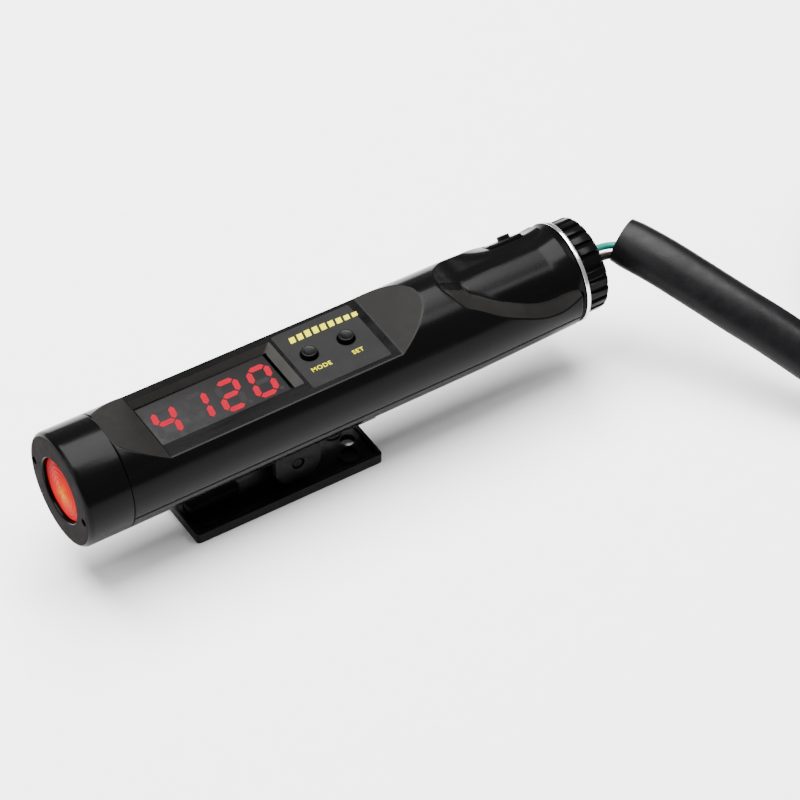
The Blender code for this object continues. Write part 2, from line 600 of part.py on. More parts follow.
def pedestal():
    saddle = box_mesh("saddle_bracket", SADDLE_X0, SADDLE_X1, -SADDLE_Y, SADDLE_Y, SADDLE_Z, AXIS_Z - 10.3)
    bracket = finish("saddle_bracket", saddle, SHELL)
    bed = [(-30, 0), (-30, barrel_radius(-30) + GAP), (30, barrel_radius(30) + GAP), (30, 0)]
    shape(bracket, lathe_mesh("saddle_bed", bed, (0, 0, AXIS_Z), sides=ROUND_SIDES))
    for k, side in enumerate((-1, 1)):
        lug = [(PIVOT_X + LUG_R, SADDLE_Z + 0.5), (PIVOT_X - LUG_R, SADDLE_Z + 0.5)]
        lug += arc(PIVOT_X, PIVOT_Z, LUG_R, 180, 360, 16)
        low, high = sorted((side * LUG_Y0, side * LUG_Y1))
        shape(bracket, prism_mesh(f"lug_{k}", lug, low, high, along="Y"), "UNION")
    bore = [(-8, 0), (-8, 1.5), (8, 1.5), (8, 0)]
    shape(bracket, lathe_mesh("lug_bore", bore, (PIVOT_X, 0, PIVOT_Z), "Y", 24))
    for k, x in enumerate(SADDLE_SCREW_X):
        hole(bracket, f"saddle_head_{k}", x, 0, 2.1, 5, SADDLE_Z + 0.8)
        hole(bracket, f"saddle_clear_{k}", x, 0, 1.3, 5, 20)
        name = f"saddle_screw_{k + 1}"
        screw = [
            (SADDLE_Z, 0), (SADDLE_Z, 1.5), (SADDLE_Z + 0.5, 1.8), (SADDLE_Z + 0.5, 0.9),
            (AXIS_Z - 7.6, 0.9), (AXIS_Z - 7.6, 0),
        ]
        finish(name, lathe_mesh(name, screw, (x, 0, 0), "Z", 18), METAL)
    pin = [(-5.0, 0), (-5.0, 1.0), (-4.8, 1.2), (4.8, 1.2), (5.0, 1.0), (5.0, 0)]
    finish("tilt_pin", lathe_mesh("tilt_pin", pin, (PIVOT_X, 0, PIVOT_Z), "Y", 24), METAL)

    foot = [(1.3, 0), (1.3, 1.55), (2.9, 1.55), (2.9, 3.5), (4.2, 3.5), (4.2, 0)]
    turret = finish("turret", lathe_mesh("turret", foot, (PIVOT_X, 0, 0), "Z", 32), SHELL)
    tongue = [(PIVOT_X + 2.7, 4.0)] + arc(PIVOT_X, PIVOT_Z, 2.7, 0, 180, 12) + [(PIVOT_X - 2.7, 4.0)]
    shape(turret, prism_mesh("tongue", tongue, -3.0, 3.0, along="Y"), "UNION")
    shape(turret, lathe_mesh("tongue_bore", bore, (PIVOT_X, 0, PIVOT_Z), "Y", 24))
    hole(turret, "swivel_thread", PIVOT_X, 0, 1.0, 0, 4.6)
    set_origin(turret, (PIVOT_X, 0, PIVOT_Z))
    screw = [(0.3, 0), (0.3, 2.1), (0.9, 2.3), (0.9, 0.7), (4.2, 0.7), (4.2, 0)]
    finish("swivel_screw", lathe_mesh("swivel_screw", screw, (PIVOT_X, 0, 0), "Z", 24), METAL)

    plate = rounded_rectangle(-BASE_X, BASE_X, -BASE_Y, BASE_Y, 0.8)
    base = finish("base_plate", prism_mesh("base_plate", plate, 0, BASE_H), SHELL)
    tray = rounded_rectangle(RIM - BASE_X, BASE_X - RIM, RIM - BASE_Y, BASE_Y - RIM, 0.6)
    shape(base, prism_mesh("tray", tray, TRAY_Z, BASE_H + 2))
    shape(base, box_mesh("ridge", -20.7, -8.4, -1.7, 1.7, 1.0, 4.0), "UNION")
    for x in (-17.4, 16.6):
        for y in (-4.0, 4.0):
            ring = [(1.0, 1.9), (1.0, 2.45), (1.85, 2.45), (1.85, 1.9)]
            mesh = lathe_mesh(f"ring_{x}_{y}", ring, (x, y, 0), "Z", 24)
            shape(base, mesh, "UNION")
    post(base, "swivel_boss", PIVOT_X, 0, 3.5, 1.0, 2.6)
    hole(base, "swivel_bore", PIVOT_X, 0, 1.85, -1, 5)
    hole(base, "swivel_recess", PIVOT_X, 0, 2.6, -1, 1.2)
    hole(base, "fixing_hole", 18.6, 0, 1.6, -1, 5)
    set_origin(base, (PIVOT_X, 0, 0))


# --- Lead ----------------------------------------------------------------------

def lead():
    for name, y, z, look in (
        ("wire_green", 0.9, 1.2, GREEN), ("wire_black", -0.9, 0.0, RUBBER), ("wire_red", 0.9, -0.9, RED)
    ):
        route = []
        for x, centre_y, rise, left_x, left_y in (
            (50.0, 0.6, 0.0, 0, 1), (60.0, 0.2, 0.0, 0, 1), (71.0, 0.0, 0.0, 0, 1),
            (77.0, 0.1, 0.1, 0, 1), (80.6, 0.6, 0.7, 0.1, 1), (83.8, 0.9, 1.4, 0.4, 0.9),
            (MOUTH.x - 0.3, MOUTH.y + 0.7, MOUTH.z - AXIS_Z, 0.9, 0.4),
        ):
            route.append((x + y * left_x, centre_y + y * left_y, AXIS_Z + z + rise))
        tube(name, route, WIRE_R, 2.2, look, 2)
    route = [
        MOUTH, (90.4, -9.1, 24.4), (94.6, -18.0, 22.2), (98.9, -26.4, 19.6), (102.6, -32.6, 17.2),
        (106.1, -38.7, 14.6), (110.8, -46.4, 11.0), (114.9, -52.3, 9.2), (119.6, -57.8, 7.8),
    ]
    tube("lead_sleeve", route, SLEEVE_R, 9.0, RUBBER, 3)
    inner = COIL_TURN_R - 3 * SLEEVE_R
    outer = COIL_TURN_R + SLEEVE_R
    top = 4 * SLEEVE_R
    ring = [(0.0, inner + 1), (0.0, outer - 1), (1.2, outer), (top - 1.2, outer)]
    ring += [(top, outer - 1), (top, inner + 1), (top - 1.2, inner), (1.2, inner)]
    finish("lead_coil", lathe_mesh("lead_coil", ring, (COIL_X, COIL_Y, 0), "Z", 48), RUBBER)

    route = [
        (COIL_X + x, COIL_Y + y, SLEEVE_R)
        for x, y in ((-27.0, 4.0), (-24.8, -0.5), (-22.0, -4.2), (-19.2, -7.2), (-16.5, -10.1))
    ]
    tube("lead_tail", route, SLEEVE_R, 7.0, RUBBER, 3)


def plug():
    """The connector at the lead's far end, drawn along +X and then turned."""
    place = Matrix.Translation(Vector((COIL_X - 16.7, COIL_Y - 9.9, 0)) * MM)
    place = place @ Matrix.Rotation(math.radians(-47), 4, "Z")

    def placed(mesh):
        mesh.transform(place)
        return mesh

    housing = finish("plug_housing", placed(box_mesh("plug_housing", 0.6, 20, -6, 6, 0, 9.2)), NYLON)
    shape(housing, placed(box_mesh("plug_mouth", 12, 22, -4.9, 4.9, 1.3, 7.9)))
    for k, y in enumerate((-3.0, 0.0, 3.0)):
        bore = [(6, 0), (6, 1.1), (13, 1.1), (13, 0)]
        shape(housing, placed(lathe_mesh(f"pin_bore_{k}", bore, (0, y, 4.6), sides=16)))
        name = f"plug_pin_{k + 1}"
        pin = [(6.4, 0), (6.4, 0.8), (17.4, 0.8), (18.2, 0.35), (18.2, 0)]
        finish(name, placed(lathe_mesh(name, pin, (0, y, 4.6), sides=16)), METAL)
    latch = [(3.0, 9.5), (3.0, 10.7), (14.0, 11.1), (16.5, 10.4), (17.4, 9.5)]
    finish("plug_latch", placed(prism_mesh("plug_latch", latch, -1.8, 1.8, along="Y")), NYLON)


def main():
    for obj in list(bpy.data.objects):
        bpy.data.objects.remove(obj)
    nose()
    shells()
    panel()
    electronics()
    tail()
    pedestal()
    lead()
    plug()


main()
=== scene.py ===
"""Looks for the timing light: high-resolution shells, keys, display, lens, pedestal
and lead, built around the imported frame.  Tables are in millimetres in the frame's
own axes: the barrel lies along X with its lens at -X, and Z is up."""

import math

import bmesh
import bpy
import numpy as np
from mathutils import Matrix, Vector


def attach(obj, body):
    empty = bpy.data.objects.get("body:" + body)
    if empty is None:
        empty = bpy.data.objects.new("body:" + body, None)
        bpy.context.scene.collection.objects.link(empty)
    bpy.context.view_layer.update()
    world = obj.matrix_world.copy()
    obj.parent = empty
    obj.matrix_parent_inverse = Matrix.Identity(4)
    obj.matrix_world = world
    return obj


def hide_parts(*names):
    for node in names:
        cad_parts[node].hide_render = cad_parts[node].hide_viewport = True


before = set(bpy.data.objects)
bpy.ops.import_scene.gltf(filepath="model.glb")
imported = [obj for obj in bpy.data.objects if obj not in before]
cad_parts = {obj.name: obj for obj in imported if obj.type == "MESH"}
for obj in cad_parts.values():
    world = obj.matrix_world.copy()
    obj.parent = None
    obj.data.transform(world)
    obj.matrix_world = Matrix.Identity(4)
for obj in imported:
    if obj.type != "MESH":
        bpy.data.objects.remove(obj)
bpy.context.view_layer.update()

MM = 0.001

# Barrel, as in the frame
AXIS_Z = 23.5
BARREL_R = 12.0
NOSE_R = 12.5
NOSE_X = -48.9
TAPER_X = 46.0
TAIL_R = 11.35
SEAM_X = -38.5
SHELL_X0 = SEAM_X + 0.15
TAIL_X = 69.5
BORE_R = 10.3
SPANNER_Y = 10.2
LENS_R = 6.85
LENS_RING = 0.98          # from one ring of the lens to the next
PARTING_H = -3.3
PARTING_GAP = 0.12        # from the parting line to each shell's edge
THIN_X = 66.0             # the lower shell's wall is thin behind this
FLAT_H = 7.15
FLAT_X0 = -28.5
FLAT_X1 = 26.3
RAMP_X0 = -39.2
RAMP_X1 = 35.7
SCOOP_X = 37.5            # where the scoop's rows take over from the flat
WINDOW_TOP = (-28.1, 4.7, -6.1, 8.0)
WINDOW_FLOOR = (-27.75, 3.15, -6.05, 7.45)
MODULE = (-27.35, 2.75, -5.75, 7.15)
PANEL_T = 2.0
LABEL = (5.7, 24.3, -8.4, 8.8)
KEY_Y = 0.5
MODE_X = 10.0
SET_X = 18.8
KEY_R = 1.7
KEY_GAP = 0.22

# Tail
NECK_R = 9.5
COLLAR_X = 70.4
COLLAR_R = 11.2
CAP_X0 = 71.8
CAP_X1 = 77.2
CAP_R = 10.3
FLUTES = 24
POWER_X = 62.0
POWER_ANGLE = math.radians(45.0)
NECK_SCREW_X = 57.0
NECK_SCREW_TURN = 32

# Pedestal
BASE_X = 22.3
BASE_Y = 8.0
BASE_H = 2.4
TRAY_Z = 1.5
RIM = 0.9
PIVOT_X = 3.55
PIVOT_Z = 7.2
LUG_R = 5.4
LUG_Y0 = 3.9
LUG_Y1 = 5.2
SADDLE = (-22.0, 22.9, 5.0)
SADDLE_Z = 10.3
SADDLE_SCREWS = (-15.0, 19.0)
PIN_HOLE_R = 1.45

# Lead
SLEEVE_R = 4.5
WIRE_R = 0.75
MOUTH = Vector((86.5, -0.5, 25.5))
COIL_X = 171.6
COIL_Y = -38.5
OUTER_TURN = 46.0
INNER_TURN = 37.0
LEAD_STEP = 2.5


# --- Mesh helpers --------------------------------------------------------------

def new_object(name, bm, materials, sharp=40.0):
    """Write a millimetre bmesh as a smooth-shaded object in metres."""
    bmesh.ops.recalc_face_normals(bm, faces=bm.faces)
    bmesh.ops.scale(bm, vec=(MM, MM, MM), verts=bm.verts)
    mesh = bpy.data.meshes.new(name)
    bm.to_mesh(mesh)
    bm.free()
    mesh.shade_smooth()
    mesh.set_sharp_from_angle(angle=math.radians(sharp))
    for material in materials:
        mesh.materials.append(material)
    obj = bpy.data.objects.new(name, mesh)
    bpy.context.collection.objects.link(obj)
    return obj


def fillet(points, radii, steps=4):
    """Round the corners of a closed outline of 2-D points."""
    result = []
    for k, point in enumerate(points):
        radius = radii[k] if isinstance(radii, (list, tuple)) else radii
        here = Vector(point)
        before = Vector(points[k - 1]) - here
        after = Vector(points[(k + 1) % len(points)]) - here
        if radius <= 0 or before.length < 1e-6 or after.length < 1e-6:
            result.append(tuple(here))
            continue
        half = before.angle(after) / 2
        cut = min(radius / math.tan(half), before.length * 0.48, after.length * 0.48)
        start = here + before.normalized() * cut
        stop = here + after.normalized() * cut
        for j in range(steps + 1):
            t = j / steps
            result.append(tuple((1 - t) ** 2 * start + 2 * t * (1 - t) * here + t ** 2 * stop))
    return result


def lathe(name, profile, origin, materials, along="X", sides=192, sharp=40.0):
    """Turn a closed outline of (distance along the axis, radius) points."""
    bm = bmesh.new()
    rings = []
    for station, radius in profile:
        count = sides if radius > 1e-6 else 1
        ring = []
        for k in range(count):
            turn = 2 * math.pi * k / sides
            point = Vector((station, radius * math.sin(turn), radius * math.cos(turn)))
            if along == "Z":
                point = Vector((point.y, point.z, point.x))
            elif along == "Y":
                point = Vector((point.z, point.x, point.y))
            ring.append(bm.verts.new(point + Vector(origin)))
        rings.append(ring)
    for ring, following in zip(rings, rings[1:] + rings[:1]):
        if len(ring) == 1 and len(following) == 1:
            continue
        for k in range(sides):
            corners = (
                ring[k % len(ring)],
                ring[(k + 1) % len(ring)],
                following[(k + 1) % len(following)],
                following[k % len(following)],
            )
            bm.faces.new(list(dict.fromkeys(corners)))
    return new_object(name, bm, materials, sharp)


def close_loops(bm, bottom, top):
    """Cap two loops of vertices and put a wall between them."""
    bm.faces.new(bottom)
    bm.faces.new(top)
    for k in range(len(bottom)):
        following = (k + 1) % len(bottom)
        bm.faces.new((bottom[k], bottom[following], top[following], top[k]))


def prism(name, outline, low, high, materials, along="Z"):
    """Extrude an outline between two levels of Z or Y."""
    bm = bmesh.new()
    loops = []
    for level in (low, high):
        loop = []
        for a, b in outline:
            point = (a, level, b) if along == "Y" else (a, b, level)
            loop.append(bm.verts.new(point))
        loops.append(loop)
    close_loops(bm, *loops)
    return new_object(name, bm, materials)


def arc(cx, cy, radius, start, stop, steps):
    points = []
    for k in range(steps + 1):
        turn = math.radians(start + (stop - start) * k / steps)
        points.append((cx + radius * math.cos(turn), cy + radius * math.sin(turn)))
    return points


def circle(x, y, radius, steps=64):
    return arc(x, y, radius, 0, 360 * (steps - 1) / steps, steps - 1)


def rounded_rectangle(x0, x1, y0, y1, radius, steps=6):
    return fillet([(x1, y1), (x0, y1), (x0, y0), (x1, y0)], radius, steps)


def finish_shading(obj, sharp=32.0):
    obj.data.shade_smooth()
    obj.data.set_sharp_from_angle(angle=math.radians(sharp))


def apply_modifiers(obj):
    """Make what an object's modifiers show its own mesh."""
    graph = bpy.context.evaluated_depsgraph_get()
    mesh = bpy.data.meshes.new_from_object(obj.evaluated_get(graph))
    obj.modifiers.clear()
    old = obj.data
    obj.data = mesh
    bpy.data.meshes.remove(old)


def boolean(obj, tool, operation="DIFFERENCE"):
    """Apply a Boolean at once and drop the tool."""
    modifier = obj.modifiers.new(tool.name, "BOOLEAN")
    modifier.operation = operation
    modifier.solver = "EXACT"
    modifier.object = tool
    apply_modifiers(obj)
    bpy.data.objects.remove(tool)


def bevel(obj, width, segments=3, angle=30.0):
    """Round an object's sharp edges, width in millimetres."""
    modifier = obj.modifiers.new("bevel", "BEVEL")
    modifier.width = width * MM
    modifier.segments = segments
    modifier.limit_method = "ANGLE"
    modifier.angle_limit = math.radians(angle)
    modifier.use_clamp_overlap = True
    modifier.harden_normals = False
    apply_modifiers(obj)
    finish_shading(obj, 50)


def keep(obj, body, *nodes, slot=None):
    """Let a piece ride on a body and stand for CAD nodes."""
    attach(obj, body)
    if nodes:
        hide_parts(*nodes)


# --- Materials -----------------------------------------------------------------

def node(tree, kind, **settings):
    made = tree.nodes.new(kind)
    for key, value in settings.items():
        if key in made.inputs:
            made.inputs[key].default_value = value
        else:
            setattr(made, key, value)
    return made


def surface(name, colour, roughness, metallic=0.0, vary=0.2, grain=2.5, bump=0.02, stretch=(1, 1, 1),
            rough_vary=0.08, specular=0.5):
    """A plastic, rubber or metal: mottled colour, uneven gloss and a fine grain."""
    material = bpy.data.materials.new(name)
    material.use_nodes = True
    tree = material.node_tree
    shader = tree.nodes["Principled BSDF"]
    shader.inputs["Metallic"].default_value = metallic
    shader.inputs["Specular IOR Level"].default_value = specular
    place = node(tree, "ShaderNodeTexCoord")
    scale = node(tree, "ShaderNodeMapping")
    scale.inputs["Scale"].default_value = stretch
    tree.links.new(place.outputs["Object"], scale.inputs["Vector"])
    broad = node(tree, "ShaderNodeTexNoise", Scale=160.0, Detail=5.0, Roughness=0.6)
    tree.links.new(scale.outputs["Vector"], broad.inputs["Vector"])
    ramp = node(tree, "ShaderNodeValToRGB")
    ramp.color_ramp.elements[0].position = 0.3
    ramp.color_ramp.elements[1].position = 0.7
    ramp.color_ramp.elements[0].color = (*[c * (1 - vary) for c in colour], 1)
    ramp.color_ramp.elements[1].color = (*[min(1, c * (1 + vary)) for c in colour], 1)
    tree.links.new(broad.outputs["Fac"], ramp.inputs["Fac"])
    tree.links.new(ramp.outputs["Color"], shader.inputs["Base Color"])
    gloss = node(tree, "ShaderNodeMapRange")
    gloss.inputs["From Min"].default_value = 0.3
    gloss.inputs["From Max"].default_value = 0.7
    gloss.inputs["To Min"].default_value = max(0.02, roughness - rough_vary)
    gloss.inputs["To Max"].default_value = roughness + rough_vary
    smear = node(tree, "ShaderNodeTexNoise", Scale=420.0, Detail=4.0, Roughness=0.55)
    tree.links.new(scale.outputs["Vector"], smear.inputs["Vector"])
    tree.links.new(smear.outputs["Fac"], gloss.inputs["Value"])
    tree.links.new(gloss.outputs["Result"], shader.inputs["Roughness"])
    fine = node(tree, "ShaderNodeTexNoise", Scale=1000.0 * grain, Detail=3.0, Roughness=0.6)
    tree.links.new(scale.outputs["Vector"], fine.inputs["Vector"])
    lift = node(tree, "ShaderNodeBump")
    lift.inputs["Strength"].default_value = 0.6
    lift.inputs["Distance"].default_value = bump * MM
    tree.links.new(fine.outputs["Fac"], lift.inputs["Height"])
    tree.links.new(lift.outputs["Normal"], shader.inputs["Normal"])
    return material


def glow(name, colour, strength, face=(0.03, 0.0005, 0.001)):
    """A lit segment: clear red plastic with light behind it, a little uneven."""
    material = surface(name, face, 0.5, vary=0.1, specular=0.03)
    tree = material.node_tree
    shader = tree.nodes["Principled BSDF"]
    place = node(tree, "ShaderNodeTexCoord")
    cloud = node(tree, "ShaderNodeTexNoise", Scale=500.0, Detail=2.0)
    tree.links.new(place.outputs["Object"], cloud.inputs["Vector"])
    ramp = node(tree, "ShaderNodeValToRGB")
    ramp.color_ramp.elements[0].color = (*[c * 0.75 for c in colour], 1)
    ramp.color_ramp.elements[1].color = (*colour, 1)
    tree.links.new(cloud.outputs["Fac"], ramp.inputs["Fac"])
    tree.links.new(ramp.outputs["Color"], shader.inputs["Emission Color"])
    shader.inputs["Emission Strength"].default_value = strength
    return material


SHELL = surface("black_plastic", (0.0016, 0.0016, 0.0016), 0.2, vary=0.25, grain=1.2, bump=0.006,
                stretch=(0.12, 1.0, 1.0), rough_vary=0.05, specular=0.052)
NOSE_FACE = surface("nose_face", (0.012, 0.0112, 0.0108), 0.6, vary=0.12, grain=2.0, bump=0.01,
                    specular=0.006)
# Painted light: a lighter matt grey that stands in for the light falling on the flat's ramps and on the
# scoop's near slope.
MATT_PAINTED_LIGHT = surface("matt_plastic_painted_light", (0.0052, 0.0050, 0.0044), 0.5, vary=0.12, grain=3.0, bump=0.02, specular=0.1)
# Painted light: a lighter grey that stands in for the light falling on the display window's walls.
WINDOW_WALL_PAINTED_LIGHT = surface("window_wall_painted_light", (0.03, 0.03, 0.028), 0.5, vary=0.12, grain=3.0, bump=0.02, specular=0.2)
LABEL_FACE = surface("label_face", (0.0085, 0.0083, 0.0082), 0.5, vary=0.12, grain=5.0, bump=0.02,
                     specular=0.06)
BASE_BLACK = surface("pedestal_black", (0.003, 0.003, 0.003), 0.42, vary=0.25, grain=1.6, bump=0.02,
                     specular=0.08)
KEY_BLACK = surface("key_black", (0.0018, 0.0018, 0.0018), 0.28, vary=0.2, grain=3.0, bump=0.008,
                    specular=0.07)
RUBBER = surface("sleeve_pvc", (0.003, 0.003, 0.0034), 0.38, vary=0.2, grain=2.0, bump=0.03, specular=0.1)
SOFT_RUBBER = surface("gland_rubber", (0.014, 0.014, 0.015), 0.6, vary=0.2, grain=3.0, bump=0.03)
WIRE_BLACK = surface("wire_black", (0.003, 0.003, 0.0032), 0.4, vary=0.2, specular=0.12)
WIRE_GREEN = surface("wire_green", (0.0, 0.13, 0.10), 0.35, vary=0.15, specular=0.25)
WIRE_RED = surface("wire_red", (0.45, 0.015, 0.015), 0.35, vary=0.15)
CHROME = surface("bright_ring", (0.82, 0.81, 0.80), 0.16, 1.0, vary=0.05, bump=0.01, rough_vary=0.06)
STEEL = surface("zinc_steel", (0.46, 0.46, 0.47), 0.32, 1.0, vary=0.1, bump=0.02)
BOARD = surface("solder_mask", (0.015, 0.11, 0.045), 0.4, vary=0.25, grain=2.0)
NYLON = surface("natural_nylon", (0.70, 0.69, 0.64), 0.42, vary=0.06, grain=2.0)
DISPLAY_FACE = surface("display_face", (0.0062, 0.0056, 0.0058), 0.5, vary=0.06, grain=4.0, bump=0.02,
                       specular=0.08)
UNLIT = surface("unlit_segment", (0.0069, 0.0062, 0.0064), 0.4, vary=0.05, grain=4.0, specular=0.08)
YELLOW = surface("label_yellow", (0.50, 0.47, 0.0), 0.7, vary=0.08, grain=4.0, bump=0.01, specular=0.02)
LIT = glow("lit_segment", (1.0, 0.0, 0.05), 1.05)


def lens_material():
    """A lit red lens: a hot spot off the middle, fading to deep red at the rim."""
    material = surface("lens_red", (0.02, 0.0004, 0.0004), 0.3, vary=0.05, rough_vary=0.03, specular=0.004)
    tree = material.node_tree
    shader = tree.nodes["Principled BSDF"]
    shader.inputs["Coat Weight"].default_value = 0.01
    shader.inputs["Coat Roughness"].default_value = 0.15
    place = node(tree, "ShaderNodeTexCoord")
    centre = node(tree, "ShaderNodeVectorMath", operation="SUBTRACT")
    centre.inputs[1].default_value = (NOSE_X * MM, -0.0009, (AXIS_Z - 0.4) * MM)
    tree.links.new(place.outputs["Object"], centre.inputs[0])
    stretch = node(tree, "ShaderNodeVectorMath", operation="MULTIPLY")
    stretch.inputs[1].default_value = (0.0, 1.0, 1.0)
    tree.links.new(centre.outputs["Vector"], stretch.inputs[0])
    reach = node(tree, "ShaderNodeVectorMath", operation="LENGTH")
    tree.links.new(stretch.outputs["Vector"], reach.inputs[0])
    share = node(tree, "ShaderNodeMapRange")
    share.inputs["From Max"].default_value = 7.2 * MM
    tree.links.new(reach.outputs["Value"], share.inputs["Value"])
    ramp = node(tree, "ShaderNodeValToRGB")
    ramp.color_ramp.elements[0].color = (1.0, 0.40, 0.02, 1)
    ramp.color_ramp.elements[1].color = (0.30, 0.0, 0.001, 1)
    for position, colour in ((0.18, (1.0, 0.18, 0.004, 1)), (0.42, (1.0, 0.03, 0.010, 1)),
                             (0.8, (0.7, 0.0, 0.010, 1))):
        ramp.color_ramp.elements.new(position).color = colour
    rings = node(tree, "ShaderNodeMath", operation="MULTIPLY")
    rings.inputs[1].default_value = 2 * math.pi / (LENS_RING * MM)
    tree.links.new(reach.outputs["Value"], rings.inputs[0])
    wave = node(tree, "ShaderNodeMath", operation="SINE")
    tree.links.new(rings.outputs["Value"], wave.inputs[0])
    shade = node(tree, "ShaderNodeMath", operation="MULTIPLY_ADD")
    shade.inputs[1].default_value = 0.10
    tree.links.new(wave.outputs["Value"], shade.inputs[0])
    tree.links.new(share.outputs["Result"], shade.inputs[2])
    tree.links.new(shade.outputs["Value"], ramp.inputs["Fac"])
    tree.links.new(ramp.outputs["Color"], shader.inputs["Emission Color"])
    shader.inputs["Emission Strength"].default_value = 1.1
    return material


LENS = lens_material()


# --- Camera and lead -------------------------------------------------------------

def camera():
    azimuth = math.radians(-32.075)
    elevation = math.radians(45.123)
    back = Vector((
        math.sin(azimuth) * math.cos(elevation),
        -math.cos(azimuth) * math.cos(elevation),
        math.sin(elevation),
    ))
    data = bpy.data.cameras.new("camera")
    data.lens = 192.78
    data.clip_start = 0.01
    obj = bpy.data.objects.new("camera", data)
    obj.location = Vector((13.89, -28.12, 39.78)) * MM + back * 0.8508
    obj.rotation_euler = back.to_track_quat("Z", "Y").to_euler()
    bpy.context.collection.objects.link(obj)
    bpy.context.scene.camera = obj


def smooth_route(points, spacing):
    """Even points along a smooth curve through the route's own points."""
    points = [Vector(point) for point in points]
    padded = [2 * points[0] - points[1]] + points + [2 * points[-1] - points[-2]]
    fine = []
    for before, start, stop, after in zip(padded, padded[1:], padded[2:], padded[3:]):
        for k in range(24):
            t = k / 24
            fine.append(
                0.5 * (2 * start + (stop - before) * t
                       + (2 * before - 5 * start + 4 * stop - after) * t ** 2
                       + (3 * start - before - 3 * stop + after) * t ** 3)
            )
    fine.append(points[-1])
    total = sum((b - a).length for a, b in zip(fine, fine[1:]))
    count = max(2, round(total / spacing))
    even = [fine[0]]
    walked = 0.0
    for a, b in zip(fine, fine[1:]):
        step = (b - a).length
        while len(even) < count and walked + step >= total * len(even) / count:
            even.append(a.lerp(b, (total * len(even) / count - walked) / step))
        walked += step
    even.append(fine[-1])
    return even


def length_of(points):
    return sum((b - a).length for a, b in zip(points, points[1:]))


def ease(t):
    t = min(1.0, max(0.0, t))
    return t * t * (3 - 2 * t)


def coil_turns():
    """Turns in two layers: outer low, outer high, inner high, then inner low."""
    points = []
    for degrees in range(257, 1553, 8):
        z = SLEEVE_R + 2 * SLEEVE_R * (ease((degrees - 560) / 52) - ease((degrees - 1272) / 60))
        radius = OUTER_TURN - (OUTER_TURN - INNER_TURN) * ease((degrees - 912) / 60)
        turn = math.radians(degrees)
        points.append((COIL_X + radius * math.cos(turn), COIL_Y + radius * math.sin(turn), z))
    return points


def sleeve_route():
    """From the mouth down to the table, round the coil and in to the plug."""
    fall = [
        MOUTH, (90.4, -9.1, 24.4), (94.6, -18.0, 22.2), (98.9, -26.4, 19.6), (102.6, -32.6, 17.2),
        (106.1, -38.7, 14.6), (110.8, -46.4, 11.0), (114.9, -52.3, 9.2), (119.6, -57.8, 7.8),
        (124.8, -63.0, 6.6), (130.4, -67.7, 5.7), (136.4, -72.0, 5.1), (142.7, -75.7, 4.7),
        (149.2, -79.0, 4.5),
    ]
    inward = [
        (COIL_X + x, COIL_Y + y, SLEEVE_R)
        for x, y in (
            (-16.4, 33.0), (-22.8, 27.6), (-26.2, 22.3), (-28.1, 16.4), (-28.3, 10.1), (-27.0, 4.0),
            (-24.8, -0.5), (-22.0, -4.2), (-19.2, -7.2), (-16.5, -10.1),
        )
    ]
    return fall + coil_turns() + inward


def sweep(name, line, section, materials, hollow=0):
    """Sweep a section(k, point count) of (across, up) points along a line.

    With hollow, the section also runs back inside the first stretch, so that the
    mouth is open.
    """
    bm = bmesh.new()
    count = len(line)
    tangents = []
    for k in range(count):
        tangents.append((line[min(k + 1, count - 1)] - line[max(k - 1, 0)]).normalized())
    view = Vector((-0.375, -0.598, 0.709))
    across = tangents[0].cross(view).normalized()
    frames = []
    for k in range(count):
        if k:
            turn = tangents[k - 1].rotation_difference(tangents[k])
            across = (turn @ across).normalized()
        across = (across - tangents[k] * across.dot(tangents[k])).normalized()
        frames.append((across.copy(), across.cross(tangents[k]).normalized()))
    rings = []

    def ring(k, inset):
        side, up = frames[k]
        return [bm.verts.new(line[k] + side * a + up * b) for a, b in section(k, inset)]

    if hollow:
        for k in range(hollow, -1, -1):
            rings.append(ring(k, 0.8))
    for k in range(count):
        rings.append(ring(k, 0.0))
    for loop, following in zip(rings, rings[1:]):
        for j in range(len(loop)):
            other = (j + 1) % len(loop)
            bm.faces.new((loop[j], loop[other], following[other], following[j]))
    bm.faces.new(rings[0])
    bm.faces.new(rings[-1])
    return new_object(name, bm, materials, 50)


def sleeve():
    """The lead's sleeve: oval for its first 72 mm, easing to round over the next 40."""
    line = smooth_route(sleeve_route(), LEAD_STEP)

    def section(k, inset):
        walked = k * LEAD_STEP
        flat = 1 - ease((walked - 72.0) / 40.0)
        lip = 0.25 if inset == 0.0 and k == 0 else 0.0
        wide = SLEEVE_R * (1 + 0.17 * flat) - inset - lip
        tall = SLEEVE_R * (1 - 0.22 * flat) - inset - lip
        points = []
        for j in range(40):
            turn = 2 * math.pi * j / 40
            points.append((wide * math.cos(turn), tall * math.sin(turn)))
        return points

    obj = sweep("lead_sleeve_skin", line, section, [RUBBER], hollow=10)
    return obj, line


def wire(name, y, z, material):
    """A wire from inside the tail into the sleeve's mouth, set apart from the others by y and z."""
    route = []
    for x, centre_y, rise, left_x, left_y in (
        (50.0, 0.6, 0.0, 0, 1), (60.0, 0.2, 0.0, 0, 1), (71.0, 0.0, 0.0, 0, 1),
        (77.0, 0.1, -0.1, 0, 1), (80.6, 0.3, -0.4, 0.1, 1), (83.8, 0.1, -0.8, 0.4, 0.9),
        (MOUTH.x - 0.3, MOUTH.y - 0.8, -0.9, 0.9, 0.4), (MOUTH.x + 1.0, MOUTH.y - 2.8, -1.3, 0.9, 0.4),
    ):
        route.append((x + y * left_x, centre_y + y * left_y, AXIS_Z + z + rise))
    line = smooth_route(route, 0.8)
    curve = bpy.data.curves.new(name, "CURVE")
    curve.dimensions = "3D"
    curve.bevel_depth = WIRE_R * MM
    curve.bevel_resolution = 6
    curve.use_fill_caps = True
    spline = curve.splines.new("POLY")
    spline.points.add(len(line) - 1)
    for place, point in zip(spline.points, line):
        place.co = (*(point * MM), 1.0)
    curve.materials.append(material)
    obj = bpy.data.objects.new(name, curve)
    bpy.context.collection.objects.link(obj)
    return obj, length_of(line)


